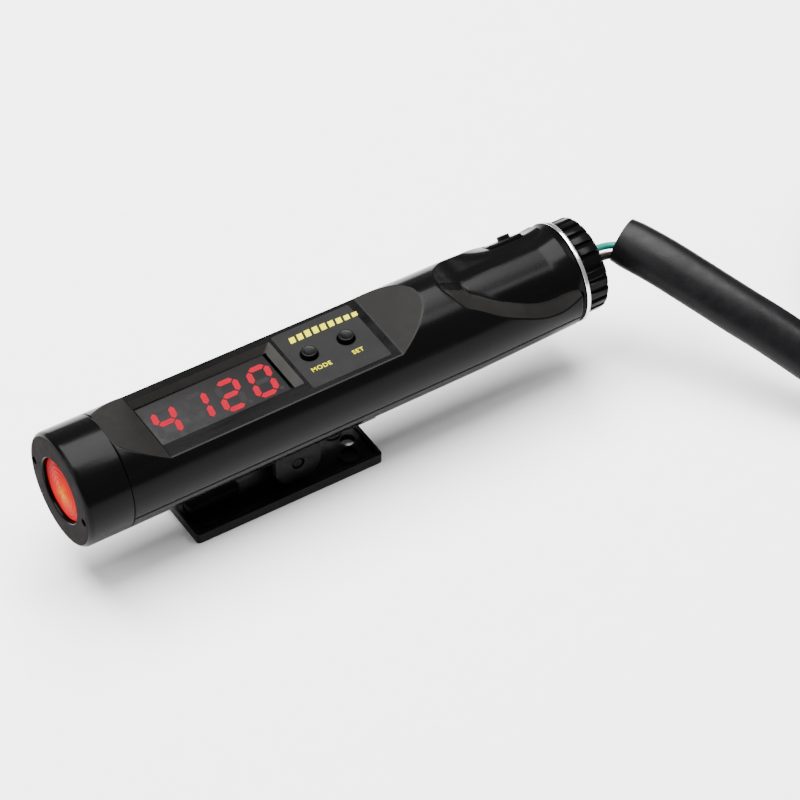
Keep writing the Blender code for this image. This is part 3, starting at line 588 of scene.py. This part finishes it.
def lead():
    for name, y, z, material, slot in (
        ("wire_green", 0.9, 1.2, WIRE_GREEN, "green_wire"),
        ("wire_black", -0.9, 0.0, WIRE_BLACK, "black_rubber"),
        ("wire_red", 0.75, -1.35, WIRE_RED, "red_wire"),
    ):
        obj, length = wire(f"{name}_skin", y, z, material)
        keep(obj, "barrel", name, slot=slot)
    obj, line = sleeve()
    keep(obj, "barrel", "lead_sleeve", "lead_coil", "lead_tail", slot="black_rubber")


# --- Round skins -----------------------------------------------------------------

def soft_min(a, b, reach):
    """The lesser of two heights, with the corner between them rounded."""
    near = max(reach - abs(a - b), 0.0) / reach
    return min(a, b) - near * near * reach / 4


def soft_max(a, b, reach):
    return -soft_min(-a, -b, reach)


def along_rows(rows, x):
    """Read a table of rows (x, values...) at x along a smooth curve."""
    stations = [row[0] for row in rows]
    x = min(max(x, stations[0]), stations[-1])
    k = max(j for j in range(len(rows) - 1) if stations[j] <= x)
    before = rows[max(k - 1, 0)]
    start, stop = rows[k], rows[k + 1]
    after = rows[min(k + 2, len(rows) - 1)]
    span = stop[0] - start[0]
    t = (x - start[0]) / span
    values = []
    for j in range(1, len(start)):
        slope_in = (stop[j] - before[j]) / (stop[0] - before[0]) * span
        slope_out = (after[j] - start[j]) / (after[0] - start[0]) * span
        values.append(
            (2 * t ** 3 - 3 * t ** 2 + 1) * start[j] + (t ** 3 - 2 * t ** 2 + t) * slope_in
            + (3 * t ** 2 - 2 * t ** 3) * stop[j] + (t ** 3 - t ** 2) * slope_out
        )
    return values


# Scoop rows: station, then the roof's knee (y, z) and a lower point (y, z) on its slope
SCOOP = (
    (39.0, 1.0, 13.0, 8.0, 13.2),
    (40.0, 1.0, 12.4, 8.0, 12.3),
    (42.5, 1.0, 11.1, 6.5, 10.1),
    (46.2, 1.3, 9.4, 8.8, 8.2),
    (50.3, 0.7, 9.3, 10.5, 5.8),
    (54.9, 0.7, 9.3, 11.5, 3.5),
    (59.8, 2.0, 9.1, 11.9, 1.3),
    (64.0, 3.0, 8.9, 12.0, 0.4),
    (67.0, 2.8, 8.9, 12.0, 1.0),
    (70.5, 2.6, 8.9, 11.8, 2.6),
)
NECK_FLARE = ((38.6, 9.5), (65.2, 9.5), (66.7, 9.65), (68.2, 9.95), (69.6, 10.45), (70.4, 11.2))
EDGE = 0.16
FAR_SLOPE_LIFT = 2.5


def barrel_radius(x):
    """Radius of the barrel: a gentle taper, steeper at the tail."""
    if x < TAPER_X:
        return BARREL_R + (NOSE_R - BARREL_R) * (TAPER_X - x) / (TAPER_X - NOSE_X)
    return BARREL_R + (TAIL_R - BARREL_R) * (x - TAPER_X) / (TAIL_X - TAPER_X)


def neck_radius(x):
    return along_rows(NECK_FLARE, x)[0]


def panel_height(x):
    """Height above the axis of the flat and its ramps."""
    front = FLAT_H + (FLAT_X0 - x) * (BARREL_R - FLAT_H) / (FLAT_X0 - RAMP_X0)
    rear = FLAT_H + (x - FLAT_X1) * (BARREL_R - FLAT_H) / (RAMP_X1 - FLAT_X1)
    return soft_max(soft_max(FLAT_H, front, 0.12), rear, 0.12)


def scoop_slope(x):
    """The roof's slope as the angle of its normal and its distance from the axis."""
    knee_y, knee_z, low_y, low_z = along_rows(SCOOP, x)
    run = low_y - knee_y
    fall = knee_z - low_z
    size = math.hypot(run, fall)
    return math.atan2(fall, run), (knee_y * fall + knee_z * run) / size, knee_z


def upper_radius(x, angle):
    """Radius of the upper shell at a station and an angle from straight up."""
    body = barrel_radius(x)
    side = abs(angle)
    upright = math.cos(angle)
    if x < SCOOP_X:
        if upright > 0.2:
            body = soft_min(body, panel_height(x) / upright, EDGE)
        return body
    lean, distance, knee_z = scoop_slope(x)
    if angle > 0:
        distance += FAR_SLOPE_LIFT * math.cos(lean)
    roof = 40.0
    if math.cos(side - lean) > 0.1:
        roof = distance / math.cos(side - lean)
    if upright > 0.1:
        roof = soft_min(roof, knee_z / upright, 0.8)
    body = soft_min(body, roof, EDGE)
    return soft_max(body, neck_radius(x) + 0.03, 0.3)


def edge_angles(x, last, raised):
    """Angles of the two feature lines that one side's grid follows at a station."""
    limit = last - 0.25
    if x < SCOOP_X:
        share = min(1.0, panel_height(x) / barrel_radius(x))
        outer = max(0.03, math.acos(share))
        return outer * 0.5, outer
    lean, distance, knee_z = scoop_slope(x)
    neck = neck_radius(x) + 0.03
    if raised:
        distance += FAR_SLOPE_LIFT * math.cos(lean)
    outer = lean + math.acos(min(1.0, distance / barrel_radius(x)))
    if raised:
        outer = max(outer, math.acos(min(1.0, knee_z / barrel_radius(x))))
    outer = min(max(outer, 0.03), limit)
    inner = outer * 0.5
    if distance < neck:
        inner = lean + math.acos(distance / neck)
    elif knee_z < neck:
        inner = math.acos(knee_z / neck)
    return min(max(inner, 0.015), outer - 0.01), outer


def columns(x, last, raised):
    """One side's angles from straight up to the parting line, close together at the edges."""
    inner, outer = edge_angles(x, last, raised)
    close = (-0.05, -0.028, -0.014, 0.0, 0.014, 0.028, 0.05)
    width = min(1.0, inner / 0.12, (outer - inner) / 0.16)
    half = list(np.linspace(0, inner - 0.05 * width, 13)[:-1])
    half += [inner + c * width for c in close]
    half += list(np.linspace(inner + 0.05 * width, outer - 0.05 * width, 14)[1:-1])
    half += [outer + c * width for c in close]
    half += list(np.linspace(outer + 0.05 * width, last - 0.03, 22)[1:])
    return half + [last - 0.018, last - 0.008, last]


def stations(*zones):
    """Stations along X from zones of (start, stop, step)."""
    found = []
    for start, stop, step in zones:
        found += list(np.arange(start, stop - step * 0.3, step))
    return found + [zones[-1][1]]


def skin(name, rows, materials, sharp=32.0):
    """Close a grid of rows of (outer point, inner point) pairs into a wall."""
    bm = bmesh.new()
    outer = [[bm.verts.new(pair[0]) for pair in row] for row in rows]
    inner = [[bm.verts.new(pair[1]) for pair in row] for row in rows]
    tall, wide = len(rows), len(rows[0])
    for i in range(tall - 1):
        for j in range(wide - 1):
            bm.faces.new((outer[i][j], outer[i][j + 1], outer[i + 1][j + 1], outer[i + 1][j]))
            bm.faces.new((inner[i][j], inner[i + 1][j], inner[i + 1][j + 1], inner[i][j + 1]))
    for i in range(tall - 1):
        for j in (0, wide - 1):
            bm.faces.new((outer[i][j], outer[i + 1][j], inner[i + 1][j], inner[i][j]))
    for i in (0, tall - 1):
        for j in range(wide - 1):
            bm.faces.new((outer[i][j], outer[i][j + 1], inner[i][j + 1], inner[i][j]))
    return new_object(name, bm, materials, sharp)


def polar(x, radius, angle):
    return Vector((x, radius * math.sin(angle), AXIS_Z + radius * math.cos(angle)))


def soften(radius, x, rim):
    """Draw a shell in close to its ends and to the parting line, which is rim away."""
    for near, reach, depth in ((min(x - SHELL_X0, TAIL_X - x), 0.2, 0.08), (rim, 0.3, 0.16)):
        radius -= depth * (1 - min(1.0, near / reach)) ** 2
    return radius


def pad_outline(gap=0.0):
    """The power key's pad seen from above, grown by a gap."""
    return rounded_rectangle(POWER_X - 4.6 - gap, POWER_X + 3.6 + gap, -2.2 - gap, 2.2 + gap,
                             1.4 + 0.8 * gap, 8)


def window_tool():
    """The window's hole, with walls that lean out from its floor to its top and on above."""
    flat_z = AXIS_Z + FLAT_H
    beyond = [edge + (edge - base) for edge, base in zip(WINDOW_TOP, WINDOW_FLOOR)]
    bm = bmesh.new()
    loops = []
    for sides, z in ((WINDOW_FLOOR, flat_z - PANEL_T - 0.6), (beyond, flat_z + PANEL_T)):
        loops.append([bm.verts.new((x, y, z)) for x, y in rounded_rectangle(*sides, 0.45, 4)])
    close_loops(bm, *loops)
    return new_object("window_tool", bm, [])


def upper_shell():
    spans = stations(
        (SHELL_X0, SHELL_X0 + 0.32, 0.08), (SHELL_X0 + 0.32, FLAT_X0 - 0.5, 0.5),
        (FLAT_X0 - 0.5, FLAT_X0 + 0.5, 0.1),
        (FLAT_X0 + 0.5, FLAT_X1 - 0.5, 2.0), (FLAT_X1 - 0.5, FLAT_X1 + 0.5, 0.1),
        (FLAT_X1 + 0.5, 33.5, 0.5), (33.5, SCOOP_X, 0.2), (SCOOP_X, 44.0, 0.2), (44.0, 64.5, 0.5),
        (64.5, TAIL_X - 0.32, 0.3), (TAIL_X - 0.32, TAIL_X, 0.08),
    )
    rows = []
    for x in spans:
        last = math.acos((PARTING_H + PARTING_GAP) / barrel_radius(x))
        row = []
        near = [-angle for angle in reversed(columns(x, last, False)[1:])]
        for angle in near + columns(x, last, True):
            radius = soften(upper_radius(x, angle), x, (last - abs(angle)) * BARREL_R)
            wall = PANEL_T / max(math.cos(angle), 0.62) if x < SCOOP_X else 0.5
            row.append((polar(x, radius, angle), polar(x, min(radius - wall, BORE_R), angle)))
        rows.append(row)
    obj = skin("upper_shell_skin", rows, [SHELL])
    boolean(obj, window_tool())
    flat_z = AXIS_Z + FLAT_H
    for x in (MODE_X, SET_X):
        hole = circle(x, KEY_Y, KEY_R + KEY_GAP, 48)
        boolean(obj, prism("key_tool", hole, flat_z - 4, flat_z + 2, []))
    tool = prism("pad_tool", pad_outline(0.25), 8.5, 15.0, [])
    tool.data.transform(power_place())
    boolean(obj, tool)
    finish_shading(obj)
    paint_ramps(obj)
    keep(obj, "barrel", "upper_shell", slot="body_plastic")


def paint_ramps(obj):
    """Give the ramps of the flat and the near slope of the scoop a matt finish in a lighter grey, and the
    window's walls a lighter grey still; the lighter greys are painted light for the light that falls on these
    faces.
    """
    mesh = obj.data
    mesh.materials.append(MATT_PAINTED_LIGHT)
    mesh.materials.append(WINDOW_WALL_PAINTED_LIGHT)
    for face in mesh.polygons:
        x, y, z = (value / MM for value in face.center)
        ramp = RAMP_X0 < x < FLAT_X0 or FLAT_X1 < x < RAMP_X1
        level = math.isclose(z, AXIS_Z + panel_height(x), abs_tol=0.06)
        walls = (WINDOW_TOP[0] - 0.1 < x < WINDOW_TOP[1] + 0.1
                 and WINDOW_TOP[2] - 0.1 < y < WINDOW_TOP[3] + 0.1
                 and AXIS_Z + 4.0 < z < AXIS_Z + FLAT_H - 0.05)
        radius = math.hypot(y, z - AXIS_Z)
        slope = x > SCOOP_X and y < -2.0 and neck_radius(x) + 0.12 < radius < barrel_radius(x) - 0.12
        # Painted light: the ramps and the scoop's near slope take the lighter matt grey.
        if (ramp and level) or slope:
            face.material_index = 1
        # Painted light: the window's walls take the lighter grey.
        elif walls:
            face.material_index = 2


def lower_shell():
    spans = stations(
        (SHELL_X0, SHELL_X0 + 0.32, 0.08), (SHELL_X0 + 0.32, TAPER_X, 3.0),
        (TAPER_X, TAIL_X - 0.32, 1.5), (TAIL_X - 0.32, TAIL_X, 0.08),
    )
    rows = []
    for x in spans:
        start = math.acos((PARTING_H - PARTING_GAP) / barrel_radius(x))
        span = math.pi - start
        edge = [0.0, 0.008, 0.018, 0.03]
        half = edge + list(np.linspace(0.03, span, 40)[1:])
        angles = [start + a for a in half] + [2 * math.pi - start - a for a in reversed(half[:-1])]
        row = []
        for angle in angles:
            rim = (math.pi - abs(math.pi - angle) - start) * BARREL_R
            radius = soften(barrel_radius(x), x, rim)
            inside = BORE_R if x < THIN_X else radius - 0.9
            row.append((polar(x, radius, angle), polar(x, inside, angle)))
        rows.append(row)
    obj = skin("lower_shell_skin", rows, [SHELL])
    for side in (-1, 1):
        tool = lathe("screw_tool", [(7, 0), (7, 1.3), (14, 1.3), (14, 0)], (0, 0, 0), [], "Z", 32)
        tool.data.transform(neck_screw_place(side))
        boolean(obj, tool)
    finish_shading(obj)
    keep(obj, "barrel", "lower_shell", slot="body_plastic")


def neck_screw_place(side):
    """Where a neck screw sits: its own +Z points out of the barrel, downwards."""
    turn = Matrix.Rotation(math.radians(180 + NECK_SCREW_TURN * side), 4, "X")
    return Matrix.Translation(Vector((NECK_SCREW_X, 0, AXIS_Z)) * MM) @ turn


# --- Nose --------------------------------------------------------------------------

def nose():
    outline = [
        (NOSE_X + 1.2, 7.0), (NOSE_X, 7.15), (NOSE_X, NOSE_R),
        (SEAM_X - 0.06, barrel_radius(SEAM_X)), (SEAM_X - 0.06, 10.7),
        (NOSE_X + 2.3, 10.7), (NOSE_X + 2.3, 8.2), (NOSE_X + 1.2, 8.2),
    ]
    outline = fillet(outline, [0.1, 0.5, 1.5, 0.12, 0.1, 0.1, 0.1, 0.1], 9)
    obj = lathe("nose_cap_skin", outline, (0, 0, AXIS_Z), [SHELL], sides=256, sharp=60)
    hole = [
        (NOSE_X - 1, 0), (NOSE_X - 1, 0.95), (NOSE_X + 0.1, 0.88), (NOSE_X + 1.2, 0.85), (NOSE_X + 1.2, 0),
    ]
    for y in (-SPANNER_Y, SPANNER_Y):
        boolean(obj, lathe("spanner_tool", hole, (0, y, AXIS_Z), [], sides=32))
    finish_shading(obj, 35)
    obj.data.materials.append(NOSE_FACE)
    for face in obj.data.polygons:
        if face.normal.x < -0.9 and face.center.x < (NOSE_X + 0.3) * MM:
            face.material_index = 1
    keep(obj, "barrel", "nose_cap", slot="body_plastic")


def front_lens():
    """A shallow dish with fine rings."""
    front = []
    steps = 70
    for k in range(steps + 1):
        radius = LENS_R * k / steps
        dome = 0.35 + 0.55 * (radius / LENS_R) ** 2
        ridge = 0.07 * math.cos(2 * math.pi * radius / LENS_RING) * ease(radius / 0.8)
        front.append((NOSE_X + dome + ridge, radius))
    outline = front + [(NOSE_X + 1.5, 6.9), (NOSE_X + 1.5, 7.9), (NOSE_X + 3.0, 7.9), (NOSE_X + 3.0, 0)]
    obj = lathe("front_lens_skin", outline, (0, 0, AXIS_Z), [LENS], sides=160, sharp=50)
    keep(obj, "barrel", "front_lens", slot="red_lens")


# --- Panel ---------------------------------------------------------------------------

SEGMENT_W = 0.66          # half width of a display segment
DOT_R = 0.5
DIGIT_X = -23.4
DIGIT_PITCH = 7.45
DIGIT_W = 4.1
DIGIT_H = 7.6
SLANT = 0.18
SEGMENTS = {"0": "abcdef", "1": "bc", "2": "abged", "4": "fgbc", " ": ""}


def segment_outlines():
    """The seven bars of one digit, about its centre, before the slant."""
    w, h, t, gap = DIGIT_W / 2, DIGIT_H / 2, SEGMENT_W, 0.24

    def bar(x0, y0, x1, y1):
        start, stop = Vector((x0, y0)), Vector((x1, y1))
        run = (stop - start).normalized()
        across = Vector((-run.y, run.x)) * t
        start += run * gap
        stop -= run * gap
        return [
            start, start + run * t + across, stop - run * t + across, stop,
            stop - run * t - across, start + run * t - across,
        ]

    return {
        "a": bar(-w, h, w, h), "b": bar(w, h, w, 0), "c": bar(w, 0, w, -h), "d": bar(-w, -h, w, -h),
        "e": bar(-w, 0, -w, -h), "f": bar(-w, h, -w, 0), "g": bar(-w, 0, w, 0),
    }


def display():
    module_top = AXIS_Z + FLAT_H - PANEL_T + 0.15
    obj = prism("display_face", rounded_rectangle(*MODULE, 0.3, 3), AXIS_Z - 1.9, module_top, [DISPLAY_FACE])
    bevel(obj, 0.2, 2)
    keep(obj, "barrel", "display_module", slot="display_grey")
    bars = segment_outlines()
    pieces = {"lit": bmesh.new(), "unlit": bmesh.new()}
    heights = {"lit": module_top + 0.05, "unlit": module_top + 0.02}
    for place, digit in enumerate("4120"):
        centre = Vector((DIGIT_X + DIGIT_PITCH * place, 0.6))
        for letter, outline in bars.items():
            state = "lit" if letter in SEGMENTS[digit] else "unlit"
            add_plate(pieces[state], [centre + Vector((p.x + SLANT * p.y, p.y)) for p in outline],
                      module_top - 0.1, heights[state])
        dot = centre + Vector((DIGIT_W / 2 + 1.05 - SLANT * DIGIT_H / 2, -DIGIT_H / 2))
        add_plate(pieces["unlit"], circle(dot.x, dot.y, DOT_R, 20), module_top - 0.1, heights["unlit"])
    for state, material in (("lit", LIT), ("unlit", UNLIT)):
        keep(new_object(f"segments_{state}", pieces[state], [material]), "barrel")


def add_plate(bm, outline, low, high):
    """Add a thin plate between two heights to a mesh of many."""
    loops = []
    for level in (low, high):
        loops.append([bm.verts.new((point[0], point[1], level)) for point in outline])
    close_loops(bm, *loops)


def word(name, text, x, y, size, shear=0.0):
    """Raised printing, 0.04 mm proud of the label."""
    curve = bpy.data.curves.new(name, "FONT")
    curve.body = text
    curve.size = size * MM
    curve.align_x = "CENTER"
    curve.align_y = "CENTER"
    curve.shear = shear
    curve.extrude = 0.03 * MM
    curve.offset = 0.012 * MM
    curve.space_character = 1.12
    holder = bpy.data.objects.new(name, curve)
    bpy.context.collection.objects.link(holder)
    holder.location = Vector((x, y, AXIS_Z + FLAT_H + 0.06)) * MM
    bpy.context.view_layer.update()
    graph = bpy.context.evaluated_depsgraph_get()
    mesh = bpy.data.meshes.new_from_object(holder.evaluated_get(graph))
    mesh.transform(holder.matrix_world)
    bpy.data.objects.remove(holder)
    obj = bpy.data.objects.new(name, mesh)
    mesh.materials.clear()
    mesh.materials.append(YELLOW)
    bpy.context.collection.objects.link(obj)
    keep(obj, "barrel")


def label():
    flat_z = AXIS_Z + FLAT_H
    plate = rounded_rectangle(*LABEL, 0.5, 5)
    obj = prism("panel_label_skin", plate, flat_z - 0.1, flat_z + 0.05, [LABEL_FACE])
    for x in (MODE_X, SET_X):
        boolean(obj, prism("label_tool", circle(x, KEY_Y, KEY_R + 0.35, 48), flat_z - 2, flat_z + 2, []))
    finish_shading(obj)
    keep(obj, "barrel", "panel_label", slot="panel_plastic")


def printing():
    """The names of the keys and a row of bars, tallest a third of the way along."""
    flat_z = AXIS_Z + FLAT_H
    word("printing_mode", "MODE", 10.3, -3.9, 1.55)
    word("printing_set", "SET", 19.0, -3.9, 1.55)
    bars = bmesh.new()
    for k in range(9):
        left = 8.4 + 1.85 * k
        tall = 1.0 + 0.9 * (1 - abs(k - 2.5) / 7)
        low = 5.0
        foot = [(left, low), (left + 1.25, low), (left + 1.25, low + tall), (left, low + tall)]
        add_plate(bars, [(x + 0.2 * (y - low), y) for x, y in foot], flat_z + 0.03, flat_z + 0.09)
    keep(new_object("printing_bars", bars, [YELLOW]), "barrel")


def keys():
    for name, x in (("mode", MODE_X), ("set", SET_X)):
        outline = [
            (3.5, 0), (3.5, 2.4), (4.5, 2.4), (4.5, KEY_R), (FLAT_H + 1.2, KEY_R), (FLAT_H + 1.05, 0.9),
            (FLAT_H + 1.0, 0),
        ]
        outline = fillet(outline, [0, 0, 0, 0, 0.3, 0.6, 0], 6)
        key = lathe(f"{name}_button_skin", outline, (x, KEY_Y, AXIS_Z), [KEY_BLACK], "Z", 72, 50)
        keep(key, f"{name}_key", f"{name}_button", slot="black_rubber")


# --- Tail ----------------------------------------------------------------------------

def tail_neck():
    flare = [(x, neck_radius(x)) for x in np.linspace(65.0, 70.3, 22)]
    outline = [(38.6, NECK_R)] + flare + [(COLLAR_X - 0.02, COLLAR_R), (COLLAR_X + 0.05, COLLAR_R - 0.1)]
    outline += [(COLLAR_X + 0.05, 8.8), (74.2, 8.8), (74.2, 4.6), (70.8, 4.6), (70.8, 6.9)]
    outline += [(68.6, 6.9), (68.6, 8.0), (38.6, 8.0)]
    obj = lathe("tail_neck_skin", outline, (0, 0, AXIS_Z), [SHELL], sides=256, sharp=40)
    pad = prism("power_pad", pad_outline(), 9.0, 11.0, [SHELL])
    bevel(pad, 0.35, 4)
    pad.data.transform(power_place())
    boolean(obj, pad, "UNION")
    bore = prism("power_bore", circle(POWER_X, 0, 1.65, 48), 6, 13, [])
    bore.data.transform(power_place())
    boolean(obj, bore)
    finish_shading(obj)
    keep(obj, "barrel", "tail_neck", slot="body_plastic")


def power_key():
    outline = [(6.6, 0), (6.6, 2.1), (7.3, 2.1), (7.3, 1.4), (11.9, 1.4), (11.8, 0.8), (11.75, 0)]
    outline = fillet(outline, [0, 0, 0, 0, 0.3, 0.4, 0], 6)
    key = lathe("power_button_skin", outline, (POWER_X, 0, 0), [KEY_BLACK], "Z", 64, 50)
    key.data.transform(power_place())
    keep(key, "power_key", "power_button", slot="black_rubber")


def trim_ring():
    ring = [(70.7, 9.1), (70.7, COLLAR_R + 0.1), (71.6, COLLAR_R + 0.1), (71.6, 9.1)]
    ring = fillet(ring, [0.1, 0.3, 0.3, 0.1], 8)
    keep(lathe("trim_ring_skin", ring, (0, 0, AXIS_Z), [CHROME], sides=256, sharp=70), "barrel",
         "trim_ring", slot="bright_metal")


def power_place():
    return Matrix.Translation(Vector((0, 0, AXIS_Z)) * MM) @ Matrix.Rotation(-POWER_ANGLE, 4, "X")


def flute(turn):
    """0 on a tooth's flat, 1 at the bottom of a groove."""
    share = (turn * FLUTES / (2 * math.pi)) % 1.0
    return 1 - ease((abs(share - 0.5) - 0.13) / 0.10)


def fluted_cap():
    """The tail cap from rings of (station, radius, depth of the flutes)."""
    rings = (
        (CAP_X0, CAP_R - 0.6, 0.0), (CAP_X0 + 0.08, CAP_R - 0.45, 0.1), (CAP_X0 + 0.3, CAP_R - 0.2, 0.4),
        (CAP_X0 + 0.5, CAP_R - 0.05, 0.65), (CAP_X0 + 0.7, CAP_R, 0.75), (CAP_X1 - 1.0, CAP_R, 0.75),
        (CAP_X1 - 0.75, CAP_R - 0.06, 0.75), (CAP_X1 - 0.55, CAP_R - 0.2, 0.7),
        (CAP_X1 - 0.35, CAP_R - 0.45, 0.55), (CAP_X1 - 0.2, CAP_R - 0.75, 0.35),
        (CAP_X1 - 0.05, CAP_R - 1.2, 0.0), (CAP_X1, CAP_R - 1.5, 0.0), (CAP_X1, 8.2, 0.0),
        (CAP_X1 - 0.05, 8.0, 0.0), (CAP_X1 - 0.3, 7.8, 0.0), (CAP_X1 - 0.35, 7.5, 0.0),
        (CAP_X1 - 0.35, 5.3, 0.0), (CAP_X1 - 0.45, 5.08, 0.0), (CAP_X1 - 0.7, 5.0, 0.0),
        (75.5, 5.0, 0.0), (75.5, 9.0, 0.0), (CAP_X0, 9.0, 0.0),
    )
    bm = bmesh.new()
    sides = FLUTES * 20
    loops = []
    for x, radius, depth in rings:
        loop = []
        for k in range(sides):
            turn = 2 * math.pi * k / sides
            loop.append(bm.verts.new(polar(x, radius - depth * flute(turn), turn)))
        loops.append(loop)
    for loop, following in zip(loops, loops[1:] + loops[:1]):
        for k in range(sides):
            other = (k + 1) % sides
            bm.faces.new((loop[k], loop[other], following[other], following[k]))
    obj = new_object("tail_cap_skin", bm, [SHELL], 40)
    keep(obj, "cap", "tail_cap", slot="body_plastic")


# --- Pedestal --------------------------------------------------------------------------

def pin_tool():
    """The tilt pin's hole through the lugs and the tongue."""
    bore = [(-8, 0), (-8, PIN_HOLE_R), (8, PIN_HOLE_R), (8, 0)]
    return lathe("pin_tool", bore, (PIVOT_X, 0, PIVOT_Z), [], "Y", 48)


def saddle():
    x0, x1, half = SADDLE
    blank = rounded_rectangle(x0, x1, -half, half, 0.9, 6)
    obj = prism("saddle_skin", blank, SADDLE_Z, AXIS_Z - BORE_R, [BASE_BLACK])
    bed = [(-30, 0), (-30, barrel_radius(-30) + 0.1), (30, barrel_radius(30) + 0.1), (30, 0)]
    boolean(obj, lathe("bed_tool", bed, (0, 0, AXIS_Z), [], sides=256))
    for low, high in ((-LUG_Y1, -LUG_Y0), (LUG_Y0, LUG_Y1)):
        outline = [(PIVOT_X + LUG_R, SADDLE_Z + 0.5), (PIVOT_X - LUG_R, SADDLE_Z + 0.5)]
        outline += arc(PIVOT_X, PIVOT_Z, LUG_R, 180, 360, 48)
        boolean(obj, prism("lug_tool", outline, low, high, [BASE_BLACK], "Y"), "UNION")
    boolean(obj, pin_tool())
    for x in SADDLE_SCREWS:
        boolean(obj, prism("head_tool", circle(x, 0, 2.1, 48), 5, SADDLE_Z + 0.8, []))
    bevel(obj, 0.22, 3)
    keep(obj, "barrel", "saddle_bracket", slot="body_plastic")


def turret():
    foot = [(1.3, 0), (1.3, 1.55), (2.9, 1.55), (2.9, 3.5), (4.2, 3.5), (4.2, 0)]
    foot = fillet(foot, [0, 0.1, 0.1, 0.25, 0.3, 0], 5)
    obj = lathe("turret_skin", foot, (PIVOT_X, 0, 0), [BASE_BLACK], "Z", 96, 50)
    tongue = [(PIVOT_X + 2.7, 4.0)] + arc(PIVOT_X, PIVOT_Z, 2.7, 0, 180, 32) + [(PIVOT_X - 2.7, 4.0)]
    blade = prism("tongue_tool", tongue, -3.0, 3.0, [BASE_BLACK], "Y")
    bevel(blade, 0.25, 3)
    boolean(obj, blade, "UNION")
    boolean(obj, pin_tool())
    finish_shading(obj, 35)
    keep(obj, "swivel_head", "turret", slot="body_plastic")


def base():
    plate = rounded_rectangle(-BASE_X, BASE_X, -BASE_Y, BASE_Y, 0.9, 6)
    obj = prism("base_skin", plate, 0, BASE_H, [BASE_BLACK])
    tray = rounded_rectangle(RIM - BASE_X, BASE_X - RIM, RIM - BASE_Y, BASE_Y - RIM, 0.6, 5)
    boolean(obj, prism("tray_tool", tray, TRAY_Z, BASE_H + 2, []))
    ridge = prism("ridge_tool", rounded_rectangle(-20.7, -8.4, -1.7, 1.7, 0.9, 6), 1.0, 4.0, [BASE_BLACK])
    boolean(obj, ridge, "UNION")
    for x in (-17.4, 16.6):
        for y in (-4.0, 4.0):
            ring = [(1.0, 1.9), (1.0, 2.45), (1.85, 2.45), (1.85, 1.9)]
            boolean(obj, lathe("ring_tool", ring, (x, y, 0), [BASE_BLACK], "Z", 64), "UNION")
    boolean(obj, prism("boss_tool", circle(PIVOT_X, 0, 3.5, 64), 1.0, 2.6, [BASE_BLACK]), "UNION")
    boolean(obj, prism("swivel_tool", circle(PIVOT_X, 0, 1.85, 64), -1, 5, []))
    boolean(obj, prism("recess_tool", circle(PIVOT_X, 0, 2.6, 64), -1, 1.2, []))
    boolean(obj, prism("fixing_tool", circle(18.6, 0, 1.6, 48), -1, 5, []))
    bevel(obj, 0.16, 3)
    keep(obj, "base", "base_plate", slot="body_plastic")


# --- Carried-over parts ------------------------------------------------------------------

def carried_over():
    looks = {
        "lens_gasket": SOFT_RUBBER, "reflector": CHROME, "led_emitter": LENS, "led_board": BOARD,
        "led_heat_sink": STEEL, "mode_switch": STEEL, "set_switch": STEEL, "power_switch": STEEL,
        "main_board": BOARD, "board_screw_1": STEEL, "board_screw_2": STEEL, "controller_chip": KEY_BLACK,
        "voltage_regulator": KEY_BLACK, "capacitor_1": STEEL, "capacitor_2": STEEL, "wire_header": NYLON,
        "led_wire_red": WIRE_RED, "led_wire_black": WIRE_BLACK, "inner_harness": RUBBER,
        "neck_screw_1": STEEL, "neck_screw_2": STEEL, "gland_washer": SOFT_RUBBER,
        "gland_grommet": SOFT_RUBBER, "saddle_screw_1": STEEL, "saddle_screw_2": STEEL,
        "tilt_pin": KEY_BLACK, "swivel_screw": STEEL, "plug_housing": NYLON, "plug_latch": NYLON,
        "plug_pin_1": STEEL, "plug_pin_2": STEEL, "plug_pin_3": STEEL,
    }
    for name, material in looks.items():
        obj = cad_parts[name]
        obj.data.materials.clear()
        obj.data.materials.append(material)


# --- Studio ----------------------------------------------------------------------------

def studio():
    floor_material = surface("paper", (0.93, 0.93, 0.94), 0.85, vary=0.01, grain=0.5, bump=0.01, specular=0.1)
    bpy.ops.mesh.primitive_plane_add(size=6.0, location=(0, 0, -0.0002))
    floor = bpy.context.object
    floor.name = "studio_floor"
    floor.data.materials.append(floor_material)
    world = bpy.data.worlds.new("studio")
    world.use_nodes = True
    backdrop = world.node_tree.nodes["Background"]
    backdrop.inputs["Color"].default_value = (1.0, 1.0, 1.0, 1)
    backdrop.inputs["Strength"].default_value = 0.42
    bpy.context.scene.world = world
    for name, size, size_y, power, at, to in (
        ("key_light", 0.9, 0.9, 52.0, (0.03, 0.2, 0.94), (0.01, 0, 0.02)),
        ("strip_light", 0.2, 0.2, 2.5, (0.36, -0.30, 0.84), (0.05, 0, 0.02)),
        ("fill_light", 0.5, 0.9, 6.0, (-0.8, 0.1, 0.5), (0, 0, 0.02)),
    ):
        data = bpy.data.lights.new(name, "AREA")
        data.shape = "RECTANGLE"
        data.size = size
        data.size_y = size_y
        data.energy = power
        obj = bpy.data.objects.new(name, data)
        obj.location = at
        obj.rotation_euler = (Vector(at) - Vector(to)).to_track_quat("Z", "Y").to_euler()
        bpy.context.collection.objects.link(obj)


camera()
lead()
upper_shell()
lower_shell()
nose()
front_lens()
display()
label()
printing()
keys()
tail_neck()
power_key()
trim_ring()
fluted_cap()
saddle()
turret()
base()
carried_over()
studio()
